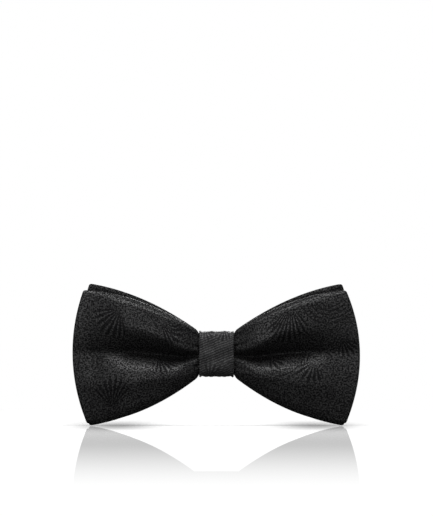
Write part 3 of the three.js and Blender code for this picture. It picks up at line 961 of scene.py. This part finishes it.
def make_hoop(name, width, low, high, corner, columns, steps):
    """A band round the X axis. low and high are its (y, z) corners outside. Gives each vertex's
    place and its distance round the band from the front middle, in millimetres."""
    bpy.ops.object.select_all(action="DESELECT")
    bpy.ops.mesh.primitive_cylinder_add(
        vertices=steps, radius=1, depth=2, end_fill_type="NOTHING", rotation=(0, math.pi / 2, 0)
    )
    piece = settle(named(name))
    bpy.ops.object.mode_set(mode="EDIT")
    mesh = bmesh.from_edit_mesh(piece.data)
    lengthwise = [e for e in mesh.edges if abs(e.verts[0].co.x - e.verts[1].co.x) > 1]
    bmesh.ops.subdivide_edges(mesh, edges=lengthwise, cuts=columns - 1)
    bmesh.update_edit_mesh(piece.data)
    bpy.ops.object.mode_set(mode="OBJECT")
    flat = coordinates(piece)
    turn = np.arctan2(flat[:, 2], -flat[:, 1])
    centre = (np.array(low) + np.array(high)) / 2
    half = (np.array(high) - np.array(low)) / 2
    angle = np.linspace(-math.pi, math.pi, 4001)
    ring_y = centre[0] - half[0] * rounded(np.cos(angle), corner)
    ring_z = centre[1] + half[1] * rounded(np.sin(angle), corner)
    lengths = np.hypot(np.diff(ring_y), np.diff(ring_z))
    along = np.concatenate([[0], np.cumsum(lengths)])
    along -= along[-1] / 2
    target = turn / math.pi * along[-1]
    y, z = np.interp(target, along, ring_y), np.interp(target, along, ring_z)
    return piece, flat[:, 0] * width / 2, y, z, target


# How far the wrap stands out in front, tucks in at its edges, and waves, in millimetres
KNOT_CROWN, KNOT_TUCK = 0.55, 0.45
KNOT_LUMP, KNOT_SMALL_LUMP, KNOT_FOLD = 0.17, 0.10, 0.14


class BOWTIE_OT_knot(bpy.types.Operator):
    """Models the wrap round the middle, with rolled side edges"""

    bl_idname = "bow_tie.knot"
    bl_label = "Knot wrap"

    def execute(self, context):
        low, high = KNOT_LOW[1:], KNOT_HIGH[1:]
        piece, x, y, z, along = make_hoop("knot", 2 * KNOT_HALF, low, high, 5.0, 36, 150)
        write_map(piece, x, along)
        centre = (low + high) / 2
        share = np.abs(x) / KNOT_HALF
        to_edge = (1 - share) * KNOT_HALF
        away = np.stack([y - centre[0], z - centre[1]], axis=1)
        away /= np.linalg.norm(away, axis=1, keepdims=True)
        front = smoothstep(0.2, 0.9, -away[:, 0])
        crown = KNOT_CROWN * (1 - share**2) * front
        roll = ridge(to_edge, at=0.6, width=0.4, tall=0.34)
        dip = -ridge(to_edge, at=1.45, width=0.35, tall=0.30)
        tucked = -KNOT_TUCK * smoothstep(0.955, 1.0, share)
        lumps = KNOT_LUMP * np.sin(x * 1.15 + 0.7) * np.sin(along * 0.31 + 1)
        small_lumps = KNOT_SMALL_LUMP * np.sin(x * 2.3 + along * 0.5)
        fold = KNOT_FOLD * np.sin((z - centre[1]) * 0.9 - x * 0.35 + 0.6) * front
        out = crown + roll + dip + tucked + lumps + small_lumps + fold
        y, z = y + away[:, 0] * out, z + away[:, 1] * out
        place(piece, np.stack([x, y, z], axis=1) * MM)
        face_outwards(piece)
        add_modifier(piece, "SOLIDIFY", thickness=WRAP * MM, offset=-1.0, use_even_offset=True)
        add_modifier(piece, "SUBSURF", levels=1, render_levels=1)
        smooth_shaded(piece)
        finish_piece(piece, "knot_satin", "bow", "bow_cloth", "knot_wrap")
        return {"FINISHED"}


def add_stitch(start, end, radius, sag):
    """One stitch: a short bent thread that dips into the cloth at both ends. In millimetres."""
    start, end = Vector(start), Vector(end)
    bpy.ops.object.select_all(action="DESELECT")
    bpy.ops.mesh.primitive_uv_sphere_add(segments=10, ring_count=8, radius=1)
    piece = named("stitch")
    along = (end - start).normalized()
    points = coordinates(piece)
    middle = np.array((start + end) / 2)
    side = np.array(along.cross(Vector(sag)).normalized())
    out = np.array(Vector(sag).normalized())
    half = (end - start).length / 2
    lift = Vector(sag).length * (1 - points[:, 2] ** 2)
    placed = (
        middle
        + np.outer(points[:, 2] * half, np.array(along))
        + np.outer(points[:, 0] * radius, side)
        + np.outer(points[:, 1] * radius + lift, out)
    )
    place(piece, placed * MM)
    return piece


def join_pieces(pieces, name):
    """Makes one object of several."""
    select_only(pieces[0])
    for other in pieces[1:]:
        other.select_set(True)
    bpy.ops.object.join()
    return named(name)


BACK_STITCHES, TACK_STITCHES = 8, 13
THREAD_RADIUS, THREAD_TURNS, THREAD_PITCH = 0.2, 5, 0.36


class BOWTIE_OT_knot_stitches(bpy.types.Operator):
    """Sews the wrap's lapped end down behind with slanting hand stitches"""

    bl_idname = "bow_tie.knot_stitches"
    bl_label = "Knot stitches"

    def execute(self, context):
        stitches = []
        y = KNOT_HIGH[1] + 0.12
        for i in range(BACK_STITCHES):
            z = mix(KNOT_LOW[2] + 3.0, KNOT_HIGH[2] - 3.0, i / (BACK_STITCHES - 1))
            wobble = 0.25 * math.sin(i * 2.4)
            start = (3.6 + wobble, y, z - 0.7)
            end = (5.6 - wobble * 0.5, y, z + 0.7)
            stitches.append(add_stitch(start, end, 0.24, (0, 0.25, 0)))
        piece = join_pieces(stitches, "knot_stitches")
        face_outwards(piece)
        smooth_shaded(piece)
        finish_piece(piece, "sewing_thread", "bow", "thread", "knot_back_stitches")
        return {"FINISHED"}


def add_thread_turn(index):
    """One turn of the gathering thread, drawn flat round the stack of cloth."""
    low, high = box_of("gather_thread")
    bpy.ops.object.select_all(action="DESELECT")
    bpy.ops.mesh.primitive_torus_add(
        major_segments=40, minor_segments=8, major_radius=1, minor_radius=0.1,
        rotation=(0, math.pi / 2, 0),
    )
    turn = settle(named("thread_turn"))
    points = coordinates(turn)
    radial = np.hypot(points[:, 1], points[:, 2])
    angle = np.arctan2(points[:, 2], points[:, 1])
    half = (high - low)[1:] / 2 - THREAD_RADIUS
    middle = (low + high)[1:] / 2
    thick = (radial - 1) / 0.1 * THREAD_RADIUS
    y = middle[0] + (half[0] + thick) * rounded(np.cos(angle), 4)
    z = middle[1] + (half[1] + thick) * rounded(np.sin(angle), 4)
    x = points[:, 0] / 0.1 * THREAD_RADIUS + (index - THREAD_TURNS // 2) * THREAD_PITCH
    place(turn, np.stack([x, y, z], axis=1) * MM)
    return turn


class BOWTIE_OT_knot_inside(bpy.types.Operator):
    """Models the gathering thread, wound in turns, and the stiffener inside the wrap"""

    bl_idname = "bow_tie.knot_inside"
    bl_label = "Inside of the knot"

    def execute(self, context):
        low, high = box_of("knot_interlining")
        width = high[0] - low[0]
        piece, x, y, z, along = make_hoop("knot_stiffener", width, low[1:], high[1:], 6.0, 8, 64)
        place(piece, np.stack([x, y, z], axis=1) * MM)
        write_map(piece, x, along)
        face_outwards(piece)
        add_modifier(piece, "SOLIDIFY", thickness=KNOT_LINING * MM, offset=-1.0)
        smooth_shaded(piece, 40)
        finish_piece(piece, "woven_interlining", "bow", "interlining", "knot_interlining")

        turns = [add_thread_turn(i) for i in range(THREAD_TURNS)]
        thread = join_pieces(turns, "gathering_thread")
        face_outwards(thread)
        smooth_shaded(thread)
        finish_piece(thread, "sewing_thread", "bow", "thread", "gather_thread")
        return {"FINISHED"}


# ---- The neckband ----
def start_section(name, thickness, height):
    """A flat upright cross-section of the band in the knot, facing along X. In millimetres."""
    bpy.ops.object.select_all(action="DESELECT")
    bpy.ops.mesh.primitive_plane_add(size=1, rotation=(0, math.pi / 2, 0))
    piece = named(name)
    piece.scale = (height * MM, thickness * MM, 1)
    piece.location = (0, BAND_Y * MM, BAND_Z * MM)
    settle(piece)
    bpy.ops.object.mode_set(mode="EDIT")
    bpy.ops.mesh.select_all(action="SELECT")
    bpy.ops.mesh.bevel(offset=thickness * 0.33 * MM, segments=3, affect="VERTICES")
    bpy.ops.mesh.select_all(action="SELECT")
    return piece


def extrude(offset, count):
    """Runs the selected section on by offset, in count steps. In millimetres."""
    step = Vector(offset) * MM / count
    for _ in range(count):
        bpy.ops.mesh.extrude_region_move(TRANSFORM_OT_translate={"value": step})


def turn_round(centre, degrees, steps):
    """Sweeps the selected section round an upright axis, counter-clockwise from above."""
    bpy.ops.mesh.spin(
        steps=steps, angle=math.radians(-degrees),
        center=(centre[0] * MM, centre[1] * MM, 0), axis=(0, 0, 1),
    )


def path_distance(points, side):
    """How far along the band each point lies from the middle of the knot, in millimetres."""
    x, y = side * points[:, 0], points[:, 1]
    bend = RING_HALF - FRONT_RADIUS
    quarter = FRONT_RADIUS * math.pi / 2
    round_front = np.arctan2(x - bend, HINGE[1] - y) * FRONT_RADIUS
    straight = bend + quarter + (y - HINGE[1])
    to_back = bend + quarter + (RING_BACK - HINGE[1])
    round_back = to_back + np.arctan2(y - RING_BACK, x) * RING_HALF
    far_side = to_back + math.pi * RING_HALF + (RING_BACK - y)
    distance = np.where((x < bend) & (y < HINGE[1]), x, bend + round_front)
    distance = np.where((y > HINGE[1]) & (x > 0), straight, distance)
    distance = np.where(y > RING_BACK, round_back, distance)
    return np.where((x < 0) & (y < RING_BACK) & (y > HINGE[1]), far_side, distance)


def finish_band(piece, side):
    """Closes a run of band, and gives it a cloth map that follows it from the knot."""
    bpy.ops.object.mode_set(mode="OBJECT")
    face_outwards(piece)
    points = coordinates(piece) / MM
    # A little of x keeps the map open across the band's thickness.
    along = path_distance(points, side) + 0.02 * np.abs(points[:, 0])
    write_map(piece, along, points[:, 2])
    smooth_shaded(piece, 50)


def make_strap(name, side, thickness, height, to_back):
    """Half of the neckband. side is -1 for the wearer's long half, +1 for the adjusting half."""
    piece = start_section(name, thickness, height)
    bend = RING_HALF - FRONT_RADIUS
    extrude((side * bend, 0, 0), 4)
    turn_round((side * bend, HINGE[1]), side * 90, 14)
    if to_back:
        extrude((0, RING_BACK - HINGE[1], 0), 22)
        turn_round((0, RING_BACK), side * 180, 40)
        extrude((0, HOOK_LOOP_HIGH[1] - RING_BACK - 0.2, 0), 2)
    else:
        extrude((0, RUN_LOW[1] - HINGE[1], 0), 8)
    finish_band(piece, side)
    return piece


LINING_THICK, LINING_MARGIN = 0.4, 1.4


def make_lined_strap(name, side, to_back, nodes):
    """A strap and its stiffener, both bent smoothly where they swing from the bow."""
    strap = make_strap(name, side, BAND_THICK, BAND_HEIGHT, to_back)
    finish_piece(strap, "plain_satin", None, "band_cloth", *nodes)
    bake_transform(strap)
    lining = make_strap(
        name + "_stiffener", side, LINING_THICK, BAND_HEIGHT - LINING_MARGIN, to_back
    )
    linings = [node + "_interlining" for node in nodes]
    finish_piece(lining, "woven_interlining", None, "interlining", *linings)
    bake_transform(lining)


class BOWTIE_OT_long_strap(bpy.types.Operator):
    """Models the long half of the neckband, from the knot round the back to the hook"""

    bl_idname = "bow_tie.long_strap"
    bl_label = "Long strap"

    def execute(self, context):
        nodes = ("neckband_centre", "left_band")
        make_lined_strap("long_strap", -1, True, nodes)
        return {"FINISHED"}


class BOWTIE_OT_short_strap(bpy.types.Operator):
    """Models the adjusting half of the neckband, from the knot to the sliding run"""

    bl_idname = "bow_tie.short_strap"
    bl_label = "Short strap"

    def execute(self, context):
        nodes = ("neckband_centre", "right_band")
        make_lined_strap("short_strap", 1, False, nodes)
        return {"FINISHED"}


def make_layer(name, x, y, thickness, height, body, *nodes):
    """A straight run of band between y[0] and y[1], its middle at x. In millimetres."""
    piece = start_section(name, thickness, height)
    bpy.ops.mesh.select_all(action="SELECT")
    bpy.ops.transform.rotate(
        value=math.pi / 2, orient_axis="Z", center_override=(0, BAND_Y * MM, BAND_Z * MM)
    )
    move = Vector((x, y[0] - BAND_Y, 0)) * MM
    bpy.ops.transform.translate(value=move)
    extrude((0, y[1] - y[0], 0), 6)
    finish_band(piece, 1)
    return finish_piece(piece, "plain_satin", body, "band_cloth", *nodes)


LOOP_WALL = 0.95  # thickness of a leg of band in a sewn loop


def make_loop(name, middle_x, bar_y, ahead, low, high, body, node):
    """Band folded round a metal bar and sewn to itself. ahead is +1 where the fold faces +Y."""
    bpy.ops.object.select_all(action="DESELECT")
    bpy.ops.mesh.primitive_plane_add(size=1, rotation=(0, math.pi / 2, 0))
    piece = named(name)
    half = (high[0] - low[0]) / 2 - LOOP_WALL / 2
    piece.scale = ((BAND_HEIGHT + 0.1) * MM, LOOP_WALL * MM, 1)
    piece.rotation_euler = (0, math.pi / 2, math.pi / 2)
    back = bar_y - ahead * (high[1] - low[1] - (high[0] - low[0]) / 2)
    piece.location = ((middle_x - half) * MM, back * MM, BAND_Z * MM)
    settle(piece)
    bpy.ops.object.mode_set(mode="EDIT")
    bpy.ops.mesh.select_all(action="SELECT")
    bpy.ops.mesh.bevel(offset=0.32 * MM, segments=3, affect="VERTICES")
    bpy.ops.mesh.select_all(action="SELECT")
    extrude((0, bar_y - back, 0), 6)
    turn_round((middle_x, bar_y), -ahead * 180, 14)
    extrude((0, back - bar_y, 0), 6)
    finish_band(piece, 1)
    points = coordinates(piece) / MM
    # The two legs are sewn together behind the bar.
    behind = smoothstep(1.4, 3.4, (bar_y - points[:, 1]) * ahead)
    points[:, 0] = mix(points[:, 0], middle_x + (points[:, 0] - middle_x) * 0.93, behind)
    place(piece, points * MM)
    finish_piece(piece, "plain_satin", body, "band_cloth", node)


def make_tack(name, x, y, body, node):
    """A close row of machine stitches across a sewn loop, on its outer side."""
    stitches = []
    for i in range(TACK_STITCHES):
        z = mix(BAND_LOW[2] + 1.6, BAND_HIGH[2] - 1.6, i / (TACK_STITCHES - 1))
        for row in (-0.9, 0.9):
            start = (x, y + row - 0.35, z - 0.36)
            end = (x, y + row + 0.35, z + 0.36)
            stitches.append(add_stitch(start, end, 0.17, (0.16, 0, 0)))
    piece = join_pieces(stitches, name)
    face_outwards(piece)
    smooth_shaded(piece)
    finish_piece(piece, "sewing_thread", body, "thread", node)


EYE_PIN = millimetres(JOINTS["eye_pivot"]["pos_m"])
HOOK_PIN = millimetres(JOINTS["hook_pivot"]["pos_m"])
SLIDER_Y = (SLIDER_LOW[1] + SLIDER_HIGH[1]) / 2
RUN_GROWTH, SLEEVE_GROWTH = 0.14, 0.12  # how much wider a layer is than the one it slides over
TACK_FROM_PIN = 3.6


class BOWTIE_OT_sliding_end(bpy.types.Operator):
    """Models the sliding end: the run through the slider, the returned layer and both loops"""

    bl_idname = "bow_tie.sliding_end"
    bl_label = "Sliding end"

    def execute(self, context):
        layers_end = EYE_LOOP_LOW[1] + 0.6
        make_layer(
            "sliding_run", RING_HALF, (RUN_LOW[1], layers_end), BAND_THICK + RUN_GROWTH,
            BAND_HEIGHT + RUN_GROWTH, "eye_carriage", "band_free_run",
        )
        return_x = (RETURN_LOW[0] + RETURN_HIGH[0]) / 2
        thick = RETURN_HIGH[0] - RETURN_LOW[0]
        make_layer(
            "returned_layer", return_x, (RETURN_LOW[1], layers_end), thick, BAND_HEIGHT,
            "eye_carriage", "band_returned_layer",
        )
        make_layer(
            "returned_end", return_x, (SLIDER_Y - 2.0, EYE_LOOP_LOW[1] + 2.5),
            thick + SLEEVE_GROWTH, BAND_HEIGHT + SLEEVE_GROWTH, "slider",
        )
        make_loop(
            "eye_end_loop", EYE_PIN[0], EYE_PIN[1], 1, EYE_LOOP_LOW, EYE_LOOP_HIGH,
            "eye_carriage", "eye_loop",
        )
        make_loop(
            "hook_end_loop", HOOK_PIN[0], HOOK_PIN[1], -1, HOOK_LOOP_LOW, HOOK_LOOP_HIGH,
            "left_side", "hook_loop",
        )
        make_tack(
            "eye_end_stitches", EYE_LOOP_HIGH[0] - 0.1, EYE_PIN[1] - TACK_FROM_PIN,
            "eye_carriage", "eye_loop_stitches",
        )
        make_tack(
            "hook_end_stitches", HOOK_LOOP_HIGH[0] - 0.1, HOOK_PIN[1] + TACK_FROM_PIN,
            "left_side", "hook_loop_stitches",
        )
        return {"FINISHED"}


# ---- Metal parts ----
def add_block(name, low, high):
    """A box between two corners, in millimetres."""
    bpy.ops.object.select_all(action="DESELECT")
    middle = (Vector(low) + Vector(high)) / 2 * MM
    bpy.ops.mesh.primitive_cube_add(size=1, location=middle)
    piece = named(name)
    piece.scale = (Vector(high) - Vector(low)) * MM
    return settle(piece)


def round_corners(piece, radius):
    """Rounds the edges that run along X: the corners of a plate seen face on."""
    select_only(piece)
    bpy.ops.object.mode_set(mode="EDIT")
    bpy.ops.mesh.select_mode(type="EDGE")
    bpy.ops.mesh.select_all(action="DESELECT")
    mesh = bmesh.from_edit_mesh(piece.data)
    for edge in mesh.edges:
        along = (edge.verts[0].co - edge.verts[1].co).normalized()
        edge.select = abs(along.x) > 0.99
    bmesh.update_edit_mesh(piece.data)
    bpy.ops.mesh.bevel(offset=radius * MM, segments=5)
    bpy.ops.object.mode_set(mode="OBJECT")


def combine(piece, other, operation):
    """Cuts another object out of a piece, or joins it on, and removes that object."""
    add_modifier(piece, "BOOLEAN", operation=operation, object=other, solver="EXACT")
    bpy.data.objects.remove(other)


def slotted_plate(name, low, high, slots, corner):
    """A stamped plate that lies across X, with rounded corners and rounded slots."""
    plate = add_block(name, low, high)
    round_corners(plate, corner)
    for y, z in slots:
        cutter = add_block("cutter", (low[0] - 1, y[0], z[0]), (high[0] + 1, y[1], z[1]))
        round_corners(cutter, min(0.45, (y[1] - y[0]) * 0.3))
        combine(plate, cutter, "DIFFERENCE")
    return plate


def finish_metal(piece, body, node):
    """Breaks the sharp edges of a stamped part and plates it."""
    face_outwards(piece)
    add_modifier(
        piece, "BEVEL", width=0.16 * MM, segments=2, limit_method="ANGLE",
        angle_limit=math.radians(50), harden_normals=False,
    )
    smooth_shaded(piece, 35)
    finish_piece(piece, "nickel_plate", body, "hardware", node)


SLIDER_BAR_HALF = 0.6
HUMP_HALF, HUMP_RISE, HUMP_SINK = 3.7, 2.0, 1.5  # band over the bar: half length, rise, low ends


class BOWTIE_OT_slider(bpy.types.Operator):
    """Models the slider: a stamped frame with a middle bar, and the band over that bar"""

    bl_idname = "bow_tie.slider"
    bl_label = "Slider"

    def execute(self, context):
        z = (SLIDER_LOW[2] + 1.4, SLIDER_HIGH[2] - 1.4)
        slots = [
            ((SLIDER_LOW[1] + 1.2, SLIDER_Y - SLIDER_BAR_HALF), z),
            ((SLIDER_Y + SLIDER_BAR_HALF, SLIDER_HIGH[1] - 1.2), z),
        ]
        plate = slotted_plate("slider_frame", SLIDER_LOW, SLIDER_HIGH, slots, 1.4)
        finish_metal(plate, "slider", "slider")

        hump_y = (SLIDER_Y - HUMP_HALF, SLIDER_Y + HUMP_HALF)
        hump = make_layer(
            "band_over_bar", SLIDER_HIGH[0] + 0.35, hump_y, 0.9, BAND_HEIGHT - 0.1, "slider",
            "band_hump",
        )
        add_modifier(hump, "SUBSURF", levels=2, render_levels=2, subdivision_type="SIMPLE")
        points = coordinates(hump) / MM
        share = np.clip((points[:, 1] - SLIDER_Y) / HUMP_HALF, -1, 1)
        rise = np.cos(share * math.pi / 2) ** 1.3
        points[:, 0] += rise * HUMP_RISE - HUMP_SINK
        place(hump, points * MM)
        smooth_shaded(hump, 50)
        return {"FINISHED"}


class BOWTIE_OT_eye(bpy.types.Operator):
    """Models the eye: a stamped plate with a slot for the band and one for the hook"""

    bl_idname = "bow_tie.eye"
    bl_label = "Eye"

    def execute(self, context):
        band_z = (EYE_LOW[2] + 1.1, EYE_HIGH[2] - 1.1)
        slots = [
            ((EYE_PIN[1] + 0.6, EYE_PIN[1] + 3.1), band_z),
            ((EYE_PIN[1] + 4.8, EYE_PIN[1] + 8.2), (BAND_Z - 3.6, BAND_Z + 3.6)),
        ]
        plate = slotted_plate("eye_plate", EYE_LOW, EYE_HIGH, slots, 1.3)
        finish_metal(plate, "eye", "eye")
        return {"FINISHED"}


TONGUE_THICK, TONGUE_WIDE, TONGUE_RADIUS = 1.0, 5.6, 1.1
TONGUE_ROOT, TONGUE_BACK = 4.0, 3.0  # from the pin to the tongue's root, and its turned-back leg


class BOWTIE_OT_hook(bpy.types.Operator):
    """Models the hook: a frame on the band and a tongue that turns back on itself"""

    bl_idname = "bow_tie.hook"
    bl_label = "Hook"

    def execute(self, context):
        plate_x = (HOOK_PIN[0] - 0.55, HOOK_PIN[0] + 0.55)
        frame_low = (plate_x[0], HOOK_PIN[1] - 5.0, HOOK_LOW[2])
        frame_high = (plate_x[1], HOOK_PIN[1] + 0.6, HOOK_HIGH[2])
        band_z = (HOOK_LOW[2] + 1.1, HOOK_HIGH[2] - 1.1)
        slots = [((HOOK_PIN[1] - 3.1, HOOK_PIN[1] - 0.6), band_z)]
        plate = slotted_plate("hook_plate", frame_low, frame_high, slots, 1.2)

        bpy.ops.object.select_all(action="DESELECT")
        bpy.ops.mesh.primitive_plane_add(size=1, rotation=(math.pi / 2, 0, 0))
        tongue = named("hook_tongue")
        tongue.scale = (TONGUE_THICK * MM, TONGUE_WIDE * MM, 1)
        root = HOOK_PIN[1] - TONGUE_ROOT
        turn_y = HOOK_LOW[1] + TONGUE_RADIUS + TONGUE_THICK / 2
        tongue.location = Vector((HOOK_PIN[0], root, BAND_Z)) * MM
        settle(tongue)
        bpy.ops.object.mode_set(mode="EDIT")
        bpy.ops.mesh.select_all(action="SELECT")
        extrude((0, turn_y - root, 0), 4)
        turn_round((HOOK_PIN[0] + TONGUE_RADIUS, turn_y), 180, 10)
        extrude((0, TONGUE_BACK, 0), 3)
        bpy.ops.object.mode_set(mode="OBJECT")
        face_outwards(tongue)
        combine(plate, tongue, "UNION")
        finish_metal(plate, "hook", "hook")
        return {"FINISHED"}


# ---- The stage ----
def add_softbox(name, place_m, target, size, watts):
    """A rectangular lamp that faces a point. In metres and watts."""
    bpy.ops.object.select_all(action="DESELECT")
    bpy.ops.object.light_add(type="AREA", location=place_m)
    lamp = bpy.context.object
    lamp.name = name
    lamp.data.shape = "RECTANGLE"
    lamp.data.size, lamp.data.size_y = size
    lamp.data.energy = watts
    aim = Vector(target) - Vector(place_m)
    lamp.rotation_euler = aim.to_track_quat("-Z", "Y").to_euler()
    return lamp


CONTACT_X, CONTACT_WIDE, CONTACT_DEEP = 41.7 * MM, 10.7 * MM, 64.0 * MM
CONTACT_DARK = 0.60  # painted shade: share of the floor's light taken away under a bow's bottom corners
MIRROR_NEAR, MIRROR_FAR = -0.2, -1.2  # along Y, where the polish is full and where it ends
POLISH = 0.71  # share of mirror in the floor where it is seen edge on


def painted_contact_shade(tree, spot):
    """Share of light left on the floor: a painted shade under the bow's two bottom corners."""
    parts = tree.add("ShaderNodeSeparateXYZ", {"Vector": spot})
    aside = tree.math("SUBTRACT", tree.math("ABSOLUTE", parts.outputs["X"]), CONTACT_X)
    wide = tree.math("POWER", tree.math("DIVIDE", aside, CONTACT_WIDE), 2.0)
    deep = tree.math("POWER", tree.math("DIVIDE", parts.outputs["Y"], CONTACT_DEEP), 2.0)
    near = tree.math("EXPONENT", tree.math("MULTIPLY", tree.math("ADD", wide, deep), -0.5))
    return tree.math("MULTIPLY_ADD", near, -CONTACT_DARK, 1.0)


def make_floor_material():
    """White card with a faint polish and a painted shade under the bow's bottom corners. The card's
    own glow keeps it white and lights nothing.
    """
    card, tree, shader = new_material("pale_floor", Specular_IOR_Level=0.0)
    path = tree.add("ShaderNodeLightPath")
    seen = path.outputs["Is Camera Ray"]
    slant = tree.add("ShaderNodeLayerWeight", {"Blend": 0.5}).outputs["Facing"]
    place_node = tree.add("ShaderNodeTexCoord")
    spot = tree.vector("SUBTRACT", place_node.outputs["Object"], (0, STACK_Y * MM, 0))
    # Painted shade: the card's colour, glow and polish are darkened under the bow's bottom corners.
    left = painted_contact_shade(tree, spot)
    away = tree.step(tree.vector("LENGTH", spot), 0.1, 0.45)
    lit = tree.math("MULTIPLY", tree.math("MULTIPLY_ADD", away, -0.56, 0.58), left)
    bounced = (0.08, 0.08, 0.08, 1)
    tree.put(shader.inputs["Base Color"], tree.colour(seen, bounced, grey(tree, lit)))
    shader.inputs["Roughness"].default_value = 0.9
    shader.inputs["Emission Color"].default_value = (1, 1, 1, 1)
    glow = tree.math("MULTIPLY", tree.math("MULTIPLY_ADD", away, 0.56, 0.46), left)
    tree.put(shader.inputs["Emission Strength"], tree.math("MULTIPLY", seen, glow))
    gloss = tree.add("ShaderNodeBsdfGlossy", {"Color": grey(tree, left), "Roughness": 0.0})
    parts = tree.add("ShaderNodeSeparateXYZ", {"Vector": spot})
    fade = tree.step(parts.outputs["Y"], MIRROR_FAR, MIRROR_NEAR, 0.0, POLISH)
    share = tree.math("MULTIPLY", tree.math("POWER", slant, 16.0), fade)
    both = tree.add("ShaderNodeMixShader", {"Fac": share})
    tree.put(both.inputs[1], shader.outputs["BSDF"])
    tree.put(both.inputs[2], gloss.outputs["BSDF"])
    output = next(n for n in tree.nodes if n.type == "OUTPUT_MATERIAL")
    tree.put(output.inputs["Surface"], both.outputs["Shader"])
    return card


# Name, place from the bow, width and height in metres, and power in watts
SOFTBOXES = (
    ("top_softbox", (0, -0.30, 0.85), (1.0, 0.55), 13.0),
    ("front_softbox", (-0.25, -1.6, 0.55), (0.6, 0.4), 3.7),
    ("rear_softbox", (0.2, 1.5, 0.7), (1.0, 0.6), 14.0),
)
ROOM_DIM = 0.022  # light from the room away from the horizon, against 1 at the horizon
SENSOR = 36.0


class BOWTIE_OT_stage(bpy.types.Operator):
    """Sets the pale floor, the soft lights and the level camera"""

    bl_idname = "bow_tie.stage"
    bl_label = "Stage"

    def execute(self, context):
        scene = context.scene
        sizes = scene.bow_tie_stage
        bow_y = STACK_Y * MM

        bpy.ops.object.select_all(action="DESELECT")
        bpy.ops.object.camera_add(
            location=(0, bow_y - sizes.distance, sizes.above), rotation=(math.pi / 2, 0, 0)
        )
        camera = context.object
        camera.data.sensor_width = SENSOR
        camera.data.lens = SENSOR * sizes.distance / sizes.picture_height
        camera.data.clip_end = 100
        scene.camera = camera

        bpy.ops.object.select_all(action="DESELECT")
        bpy.ops.mesh.primitive_circle_add(
            vertices=96, radius=1.2, fill_type="NGON", location=(0, -0.9, 0)
        )
        floor = settle(named("floor"))
        floor.data.materials.append(make_floor_material())

        middle = (0, bow_y, 0.03)
        for name, (x, y, z), size, watts in SOFTBOXES:
            add_softbox(name, (x, bow_y + y, z), middle, size, watts)

        world = bpy.data.worlds.new("pale_room")
        scene.world = world
        world.use_nodes = True
        room = Tree(world.node_tree)
        background = next(n for n in room.nodes if n.type == "BACKGROUND")
        background.inputs["Color"].default_value = (1, 1, 1, 1)
        path = room.add("ShaderNodeLightPath")
        way = room.add("ShaderNodeTexCoord")
        parts = room.add("ShaderNodeSeparateXYZ", {"Vector": way.outputs["Generated"]})
        level = room.step(room.math("ABSOLUTE", parts.outputs["Z"]), 0.03, 0.12, 1.0, ROOM_DIM)
        seen = room.math("MAXIMUM", path.outputs["Is Camera Ray"], level)
        room.put(background.inputs["Strength"], seen)
        scene.view_settings.view_transform = "Standard"
        return {"FINISHED"}


PIECES = (
    BOWTIE_OT_front_bow,
    BOWTIE_OT_rear_bow,
    BOWTIE_OT_interlinings,
    BOWTIE_OT_knot,
    BOWTIE_OT_knot_stitches,
    BOWTIE_OT_knot_inside,
    BOWTIE_OT_long_strap,
    BOWTIE_OT_short_strap,
    BOWTIE_OT_sliding_end,
    BOWTIE_OT_slider,
    BOWTIE_OT_eye,
    BOWTIE_OT_hook,
)


class BOWTIE_PT_panel(bpy.types.Panel):
    """Lists the pieces of the bow tie"""

    bl_idname = "BOWTIE_PT_panel"
    bl_label = "Bow tie"
    bl_space_type = "VIEW_3D"
    bl_region_type = "UI"
    bl_category = "Bow tie"

    def draw(self, context):
        layout = self.layout
        for holder in ("bow_tie_bows", "bow_tie_colours", "bow_tie_stage"):
            settings = getattr(context.scene, holder)
            for key in settings.__annotations__:
                layout.prop(settings, key)
        for operator in (BOWTIE_OT_stage, *PIECES):
            layout.operator(operator.bl_idname)


CLASSES = (BowSizes, ClothColours, StageSizes, BOWTIE_OT_stage, *PIECES, BOWTIE_PT_panel)
HOLDERS = {
    "bow_tie_bows": BowSizes,
    "bow_tie_colours": ClothColours,
    "bow_tie_stage": StageSizes,
}


def register():
    for made in CLASSES:
        bpy.utils.register_class(made)
    for name, holder in HOLDERS.items():
        setattr(bpy.types.Scene, name, bpy.props.PointerProperty(type=holder))


def unregister():
    for name in HOLDERS:
        delattr(bpy.types.Scene, name)
    for made in reversed(CLASSES):
        bpy.utils.unregister_class(made)


def main():
    register()
    make_materials(bpy.context.scene)
    for operator in (BOWTIE_OT_stage, *PIECES):
        module, name = operator.bl_idname.split(".")
        getattr(getattr(bpy.ops, module), name)()


if __name__ == "__main__":
    main()
